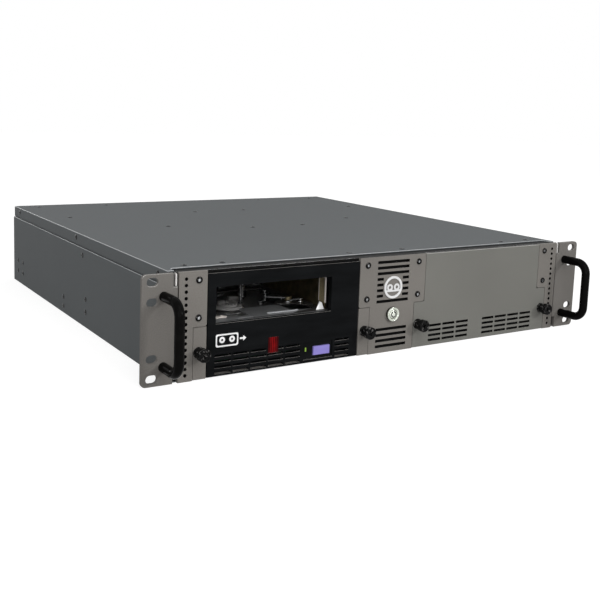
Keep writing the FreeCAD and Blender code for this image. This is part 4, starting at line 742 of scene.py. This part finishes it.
takeup = {
    "flanges": [(0, 15.0), (3.0, 15.0), (3.0, 33.0), (34.6, 33.0), (35.0, 33.3), (35.0, 34.0), (34.6, 34.2),
        (17.0, 34.2), (17.0, 47.2), (34.6, 47.2), (35.0, 47.4), (35.0, 48.1), (34.6, 48.4), (8.0, 48.4),
        (7.0, 47.4), (0, 47.4)],
    "tape": [(17.0, 34.6), (29.0, 34.6), (29.3, 34.9), (29.0, 35.2), (29.2, 38.0), (29.0, 41.0),
        (29.25, 44.0), (29.0, 46.5), (28.8, 46.8), (17.0, 46.8), (17.0, 34.6)],
    "window": 5.0, "windows": 3, "windowAt": 24, "top": 48.4,
}


def takeupReel():  # two flanges with windows, and the wound tape between them
    flange = turned(takeup["flanges"], 72)
    for number in range(takeup["windows"]):
        hole = begin("cylinder", vertices=32, radius=takeup["window"] * mm, depth=4 * mm)
        angle = math.radians(30 + number * 360 / takeup["windows"])
        out = takeup["windowAt"]
        cutBy(flange, laid(hole, (out * math.cos(angle), out * math.sin(angle), takeup["top"])))
    coated(softened(flange, 0.2), "reel_grey")
    tape = turned(takeup["tape"], 72)
    coated(softened(tape, 0.1), "tape_brown")
    onAxis(joined(flange, tape), "takeup_reel", "takeup_flanges")


rollerProfile = [
    (1.6, 33.2), (5.8, 33.2), (6.2, 33.5), (6.2, 34.0), (5.0, 34.2), (4.8, 34.4), (4.8, 37.4), (4.6, 37.6),
    (4.6, 37.9), (4.8, 38.1), (4.8, 43.3), (4.6, 43.5), (4.6, 43.8), (4.8, 44.0), (4.8, 47.0), (5.0, 47.2),
    (6.2, 47.4), (6.2, 47.9), (5.8, 48.2), (1.6, 48.2), (1.6, 33.2)]


def guideRoller(node):  # a flanged sleeve with oil grooves
    onAxis(softened(turned(rollerProfile, 36), 0.08), node, node + "_sleeve")


deckPost = {"radius": 1.5, "footed": 2.5, "groove": 0.3}  # posts stouter than "footed" stand on a foot


def deckPosts():  # posts with a groove below the crown
    for number, (low, high) in enumerate(looseBoxes("guide_posts"), 1):
        wide, foot, top = (high.x - low.x) / 2, low.z, high.z
        radius = deckPost["radius"] if wide > deckPost["footed"] else wide
        neck = radius - deckPost["groove"]
        post = turned([(0, foot), (wide, foot), (wide, foot + 1.6), (radius, foot + 1.9), (radius, top - 1.6),
                       (neck, top - 1.4), (neck, top - 1.0), (radius, top - 0.8), (radius, top - 0.4),
                       (radius - 0.4, top), (0, top)], 28)
        finished(laid(softened(post, 0.06), ((low.x + high.x) / 2, (low.y + high.y) / 2, 0)),
                 "deck_post_%d" % number, "drive_module", slotOf["guide_posts"], "guide_posts")


cradle = {  # each slot's middle and length; depths count from the front
    "sheet": 1.0, "slots": ((-145.0, 15.0), (-103.0, 12.0)), "slotDepths": (7.5, 10.5), "sill": 22,
    "split": -100,
}


def receiverSkin():  # the sheet cradle: a grey floor at the sill, painted dark behind it as shade, a dark wall and a plated wall
    node = "cartridge_receiver"
    floor = spanOf(node)[0].z + cradle["sheet"]
    above, split, sill = floor + 0.2, cradle["split"], frontY + cradle["sill"]
    near, far = (frontY + depth for depth in cradle["slotDepths"])
    piece = coated(mergedCopy(node), "sill_grey", "dark_sheet", "gold_sheet")
    for middle, length in cradle["slots"]:
        half = length / 2
        cutBy(piece, slab((middle - half, near, floor - 2), (middle + half, far, floor + 1), 0))
    softened(piece, 0.15)
    # painted shade: the floor deeper than the sill takes the dark sheet finish, as does the left wall
    repaint(piece, 1, lambda at, normal, index: at.z > above and at.x < split or at.y > sill and at.z < above)
    repaint(piece, 2, lambda at, normal, index: at.z > above and at.x > split)
    finished(piece, node + "_skin", bodyOf[node], slotOf[node], node)


def spring(radius, wire, pitch, turns):  # a coil of round wire standing on its foot
    coil = begin("circle", vertices=8, radius=wire * mm)
    laid(coil, (radius, 0, wire), "front")
    applied(coil, "SCREW", axis="Z", angle=2 * math.pi, screw_offset=pitch * mm, iterations=turns, steps=28,
            render_steps=28, use_merge_vertices=True)
    opened(coil)
    closed(joins=False, holes=8)
    bpy.ops.object.shade_smooth_by_angle(angle=math.radians(60))
    return coil


def onFloor(piece, name, slot):  # made at its x, depth and height, then set on the cradle's floor
    node = "cartridge_receiver"
    piece = laid(piece, (0, frontY, spanOf(node)[0].z + cradle["sheet"]))
    return finished(piece, name, bodyOf[node], slot)


fitting = {  # outlines of x and depth behind the front; the lever's and the hook's count from their pivots
    "ramp": [(-138, 15.5), (-138, 36), (-134, 41), (-100, 41), (-96, 38), (-96, 15.5)],
    "leaf": [(-122, 14.2), (-120.5, 13.6), (-96, 13.2), (-91, 14.6), (-91, 15.8), (-96, 15.4), (-121, 16.0),
        (-122, 15.4)],
    "bracket": [(-174, 16), (-160, 16), (-158.5, 18), (-160, 20.5), (-166, 21), (-168, 23.5), (-174, 23.5)],
    "rivet": [(0, 0), (1.3, 0), (1.3, 0.4), (0.9, 0.8), (0, 0.95)],
    "wedge": [(-77.0, 8.5), (-68.2, 8.5), (-68.2, 15.5), (-70.5, 16.2)],
    "wedgeTop": (-70.5, 12.0, 6.0),
    "flange": ((-67.4, 9.2, 5.0), (-66.05, 19.6, 28.0)),
    "flangeHem": (10.6, 18.4, 26.9),
    "plate": [(-66, 28), (-66, 50), (-78, 54), (-88, 52), (-96, 46), (-97, 41), (-90, 36), (-82, 35),
        (-78, 28)],
    "plateThickness": 0.9,
    "hub": [(0, 0), (4.0, 0), (4.0, 1.2), (2.2, 1.6), (2.2, 4.2), (1.6, 4.8), (0, 4.8)],
    "hubPlace": (-84, 43),
    "pivot": [(0, 0), (2.4, 0), (2.4, 0.8), (1.2, 1.2), (1.2, 3.4), (0, 3.6)],
    "pivotPlace": (-74, 38),
    "spring": (3.2, 0.45, 1.05, 3),
    "lever": [(-2, -2), (3, -2.6), (16, -1.4), (20, 0), (16, 1.2), (4, 2.4), (-2, 2)],
    "hook": [(-1.5, -1.5), (2, -2), (10, -4), (13, -3), (12, -1), (9, -2), (3, 1.2), (-1.5, 1.5)],
}


def floorFittings():  # what is riveted to the cradle's floor near its mouth
    onFloor(softened(raised(fitting["ramp"], -1.0, -0.2), 0.15), "floor_ramp", "sill_grey")
    # the latch leaf takes the bright chassis edge finish: a light bluish metal with its highlights painted in
    onFloor(softened(raised(fitting["leaf"], 0, 0.8), 0.15), "latch_leaf", "chassis_edge")
    foot = raised(fitting["bracket"], 0, 0.8)
    tab = slab((-173.6, 21.0, 0.6), (-172.6, 23.2, 5.0), 0.3)
    rivet = laid(turned(fitting["rivet"], 24), (-163.5, 18.4, 0.8))
    onFloor(joined(softened(foot, 0.2), tab, rivet), "corner_bracket", "flange_edge")
    wedge = raised(fitting["wedge"], 0, fitting["wedgeTop"][2])
    pick(wedge, lambda at, normal: normal.z > 0.9)
    bpy.ops.transform.resize(value=(0.3, 0.5, 1), center_override=Vector(fitting["wedgeTop"]) * mm)
    bpy.ops.object.mode_set(mode="OBJECT")
    onFloor(softened(wedge, 0.3), "guide_wedge", "label_white")


def wallFlange():  # a dished pad with a bright hem on the plated wall
    pad = slab(*fitting["flange"], 0.4)
    near, far, top = fitting["flangeHem"]
    pressed(pad, lambda at, normal: normal.x < -0.9, 1.0, 0.35, False)
    coated(pad, "flange_brass", "flange_edge")
    repaint(pad, 1, lambda at, normal, index: at.x < -66.3 and (at.y < near or at.y > far or at.z > top))
    onFloor(pad, "wall_flange", "flange_brass")


def tapeLatch():  # a plate with two pivots, a coil spring, a lever and a hook
    thick, hubPlace, pivotPlace = fitting["plateThickness"], fitting["hubPlace"], fitting["pivotPlace"]
    plate = raised(fitting["plate"], 0, thick)
    coated(softened(plate, 0.2), "dark_sheet")
    hub = coated(laid(turned(fitting["hub"], 32), (*hubPlace, thick)), "turned_steel")
    pivot = coated(laid(turned(fitting["pivot"], 24), (*pivotPlace, thick)), "turned_steel")
    onFloor(joined(plate, softened(hub, 0.1), softened(pivot, 0.1)), "latch_plate", "dark_sheet")
    onFloor(laid(spring(*fitting["spring"]), (*hubPlace, 2.1)), "latch_spring", "gold_sheet")
    lever = raised(fitting["lever"], 0, thick)
    onFloor(laid(softened(lever, 0.2), (*hubPlace, 4.2), "up", 150), "latch_lever", "sill_grey")
    hook = raised(fitting["hook"], 0, 0.8)
    onFloor(laid(softened(hook, 0.2), (*pivotPlace, 3.4), "up", 205), "latch_hook", "sill_grey")


deckPiece = {  # the post's place is its x and its depth behind the front
    "post": [(0, 31.0), (3.0, 31.0), (3.0, 32.4), (1.7, 33.0), (1.7, 40.0), (1.4, 40.3), (1.4, 41.2),
        (1.7, 41.5), (1.7, 58.0), (1.1, 58.8), (0, 59.0)],
    "place": (-99, 103), "cam": [(-104, 116), (-94, 113), (-92, 117), (-96, 121), (-104, 121)],
}


def deckFittings():  # what stands on the cast deck in front of the clutch
    x, depth = deckPiece["place"]
    post = laid(softened(turned(deckPiece["post"], 28), 0.06), (x, frontY + depth, 0))
    finished(post, "loading_post", "drive_module", "turned_steel")
    cam = laid(softened(raised(deckPiece["cam"], 31.0, 36.0), 0.6), (0, frontY, 0))
    finished(cam, "loading_cam", "drive_module", "clutch_grey")


catch = {"places": (-171.5, -50.0), "half": 1.8, "depths": (0.05, 0.7), "drops": (1.3, 0.5)}
notch = {"x": 212.7, "half": 0.65, "depths": (0.4, 3.0), "heights": (77.6, 87.4)}


def smallBar(x, half, depths, heights, edge):  # its depths count from the front plates
    ends = (x - half, x + half), (frontY + depths[0], frontY + depths[1]), heights
    return slab(*zip(*ends), edge)


def frontBars():  # catches on the bezel's top edge, and the flange beside each ear's top, both in the bright edge finishes as painted highlights
    heights = [spanOf("drive_bezel")[1].z - drop for drop in catch["drops"]]
    for number, x in enumerate(catch["places"], 1):
        finished(smallBar(x, catch["half"], catch["depths"], heights, 0.15), "bezel_catch_%d" % number,
                 "drive_module", "bezel_edge")
    for side, x in (("left", -notch["x"]), ("right", notch["x"])):
        finished(smallBar(x, notch["half"], notch["depths"], notch["heights"], 0.2),
                 side + "_notch_strip", "chassis", "plate_edge")


sign = {"width": 20.5, "height": 10.5, "line": 1.2, "reel": 2.6, "eye": 0.95, "spread": 4.5, "rise": 0.4,
        "thick": 0.12, "corner": 1, "arrow": (1.4, 4.6, 7.4), "place": (-167.5, 30.0)}


def cutCorners(wide, tall, cut):  # a rectangle's outline with its corners cut off
    return [(-wide, -tall + cut), (-wide + cut, -tall), (wide - cut, -tall), (wide, -tall + cut),
            (wide, tall - cut), (wide - cut, tall), (-wide + cut, tall), (-wide, tall - cut)]


def cartridgeSign():  # a plain sign for putting a tape in: its outline, two reels and an arrow
    wide, tall, line, thick = sign["width"] / 2, sign["height"] / 2, sign["line"], sign["thick"]
    outer = raised(cutCorners(wide, tall, sign["corner"]), 0, thick)
    outline = cutBy(outer, raised(cutCorners(wide - line, tall - line, sign["corner"]), -1, 1))
    eye, reel = sign["eye"], sign["reel"]
    ring = [(eye, 0), (reel, 0), (reel, thick), (eye, thick), (eye, 0)]
    reels = [laid(turned(ring, 36), (x, sign["rise"], 0)) for x in (-sign["spread"], sign["spread"])]
    tail, barb, tip = (wide + reach for reach in sign["arrow"])
    arrow = [(tail, -0.7), (barb, -0.7), (barb, -2.2), (tip, 0), (barb, 2.2), (barb, 0.7), (tail, 0.7)]
    x, z = sign["place"]
    piece = joined(outline, *reels, raised(arrow, 0, thick))
    finished(laid(piece, (x, frontY + 0.06, z), "front"), "cartridge_sign", "drive_module", "label_white")


supplyClutch()
takeupReel()
for number in range(1, 5):
    guideRoller("guide_roller_%d" % number)
deckPosts()
receiverSkin()
floorFittings()
wallFlange()
tapeLatch()
deckFittings()
frontBars()
cartridgeSign()
print("tape drive done")


guard = {"rings": (8.6, 18.5, 28.5), "wire": 0.8, "height": 1.7, "reach": 31.0, "overlap": 2, "eye": 2.6,
         "bars": 4}
hubCap = {"profile": [(0, 0), (10.5, 0), (10.5, 0.15), (9.8, 0.35), (0, 0.35)], "sink": 0.3}


def fanGuard(name, place):  # round wire rings welded to bars, with an eye at each corner
    wire, reach, eye = guard["wire"], guard["reach"], guard["eye"]
    start = guard["rings"][0] - guard["overlap"]
    parts = [begin("torus", major_radius=radius * mm, minor_radius=wire * mm, major_segments=56,
                   minor_segments=8, location=(0, 0, guard["height"] * mm)) for radius in guard["rings"]]
    for number in range(guard["bars"]):
        angle = 45 + number * 360 / guard["bars"]
        bar = begin("cylinder", vertices=8, radius=wire * mm, depth=(reach - start) * mm)
        bar = laid(laid(bar, (0, 0, 0), "right"), ((reach + start) / 2, 0, wire))
        bar = laid(bar, (0, 0, 0), "up", angle)
        loop = begin("torus", major_radius=eye * mm, minor_radius=wire * mm, major_segments=24,
                     minor_segments=8, location=Vector((reach + eye, 0, wire)) * mm)
        parts += [bar, laid(loop, (0, 0, 0), "up", angle)]
    piece = joined(*parts)
    only(piece)
    bpy.ops.object.shade_smooth()
    finished(laid(piece, place, "back"), name, "chassis", slotOf["fan_guards"], "fan_guards")


def fanFaces():  # a guard over each fan and a cap on its hub
    for number, fan in enumerate(("fan_rotor_1", "fan_rotor_2"), 1):
        centre = middleOf(fan)
        fanGuard("fan_grille_%d" % number, (centre.x, backY, centre.z))
        cap = softened(turned(hubCap["profile"], 40), 0.05)
        finished(laid(cap, (centre.x, spanOf(fan)[1].y - hubCap["sink"], centre.z), "back"),
                 "fan_hub_cap_%d" % number, bodyOf[fan], "reel_grey")


ports = {"drops": (4.5, 32.5), "tongue": 0.8, "sunk": 0.02, "pins": 34, "step": 1.16,
         "pin": (0.55, 3.6, 0.12), "inset": 4.2, "depth": 2.2}


def portContacts():  # gilt strips on both faces of each port's tongue
    low, high = spanOf("interface_board")
    rise, thick = ports["tongue"] - ports["sunk"], ports["pin"][2]
    for number, drop in enumerate(ports["drops"], 1):
        middle = high.z - drop
        for side, level in (("upper", middle + rise), ("lower", middle - rise - thick)):
            start = Vector((low.x + ports["inset"], backY - ports["depth"], level))
            row = slab(start, start + Vector(ports["pin"]), 0.04)
            applied(row, "ARRAY", count=ports["pins"], use_relative_offset=False, use_constant_offset=True,
                    constant_offset_displace=(ports["step"] * mm, 0, 0))
            finished(row, "port_%d_%s_contacts" % (number, side), "chassis", "contact_gold")


rockerMarks = {"bar": (0.9, 11.49, 13.3), "ring": (1.98, 3.86, 2.3)}  # depth, height and lean of each half


def markRocker():  # a bar on the upper half of the mains switch and a ring on the lower half
    low, high = spanOf("mains_rocker")
    marks = {"bar": slab((-0.35, -1.5, -0.1), (0.35, 1.5, 0.15), 0.05),
             "ring": turned([(1.1, -0.1), (1.6, -0.1), (1.6, 0.15), (1.1, 0.15), (1.1, -0.1)], 32)}
    for name, mark in marks.items():
        depth, height, lean = rockerMarks[name]
        mark.rotation_euler.x = math.radians(-90 - lean)
        mark.location = Vector(((low.x + high.x) / 2, high.y - depth, low.z + height)) * mm
        finished(mark, "rocker_" + name, bodyOf["mains_rocker"], "label_white")


fanFaces()
portContacts()
markRocker()
print("rear done")


studio = {
    "floorSize": 9.0, "floorLevel": 0.34, "grain": 0.02, "whiteLift": 0.8,
    "ambient": 0.15, "softLight": 0.5,  # the sky's light is this share of the way from ambient to white
    "lamps": {  # position, size and power
        "key": ((2.3, -3.9, 1.8), 0.6, 70.0),
        "over": ((-0.1, -0.8, 0.65), 0.7, 3.2),
        "side": ((-1.4, -1.3, 0.5), 0.8, 4.6),
        "fill": ((-0.8, -2.0, 0.35), 0.5, 4.6),
        "back": ((-0.5, 2.2, 0.4), 1.0, 9.0),
    },
}


seenRays = ("Is Camera Ray", "Is Glossy Ray", "Is Transmission Ray")  # these see a white studio


def makeStudio():  # a paper floor, five lamps and a sky that looks white
    floor = begin("plane", size=studio["floorSize"])
    floor.name = "studio_floor"
    paper = Finish("studioPaper")
    level = studio["floorLevel"]
    tone = paper.mix(paper.noise(40.0, 3.0), grey(level), grey(level + studio["grain"]))
    card = paper.node("ShaderNodeBsdfDiffuse", {"Color": tone})
    seen = 0.0
    for ray in seenRays:
        seen = paper.node("ShaderNodeLightPath", output=ray) + seen
    lift = paper.node("ShaderNodeEmission", {"Color": grey(1), "Strength": seen * studio["whiteLift"]})
    paper.node("ShaderNodeOutputMaterial", {"Surface": paper.node("ShaderNodeAddShader", {0: card, 1: lift})})
    floor.data.materials.append(paper.owner)
    for name, (place, size, power) in studio["lamps"].items():
        bpy.ops.object.light_add(type="AREA", location=place)
        lamp = bpy.context.object
        lamp.name = name + "_lamp"
        lamp.data.size = size
        lamp.data.energy = power
        lamp.rotation_mode = "QUATERNION"
        lamp.rotation_quaternion = (-Vector(place)).to_track_quat("-Z", "Y")
    sky = Finish("studio", "worlds")
    bpy.context.scene.world = sky.owner
    seen = studio["softLight"]
    for ray in seenRays:
        seen = sky.math("MAXIMUM", sky.node("ShaderNodeLightPath", output=ray), seen)
    level = sky.node("ShaderNodeMapRange", {"Value": seen, "To Min": studio["ambient"]})
    light = sky.node("ShaderNodeBackground", {"Color": grey(1), "Strength": level})
    sky.node("ShaderNodeOutputWorld", {"Surface": light})
    bpy.context.scene.view_settings.view_transform = "Standard"


viewpoint = {"yaw": 31.98, "pitch": 7.775, "roll": 1.903, "lens": 52.81, "shift": (0.025, -0.125),
             "place": (-494.5, -605.6, 218.3)}  # the place counts from the front plates and the floor


def makeCamera():
    yaw, pitch, roll = (math.radians(viewpoint[key]) for key in ("yaw", "pitch", "roll"))
    forward = Vector((math.sin(yaw) * math.cos(pitch), math.cos(yaw) * math.cos(pitch), -math.sin(pitch)))
    level = Vector((math.cos(yaw), -math.sin(yaw), 0))
    upright = level.cross(forward)
    right = level * math.cos(roll) + upright * math.sin(roll)
    up = upright * math.cos(roll) - level * math.sin(roll)
    bpy.ops.object.camera_add()
    camera = bpy.context.object
    camera.name = "front_camera"
    camera.matrix_world = Matrix((right, up, -forward)).transposed().to_4x4()
    camera.location = (Vector(viewpoint["place"]) + Vector((0, frontY, 0))) * mm
    camera.data.lens = viewpoint["lens"]
    camera.data.shift_x, camera.data.shift_y = viewpoint["shift"]
    bpy.context.scene.camera = camera


makeStudio()
makeCamera()
print("studio ready")

only()
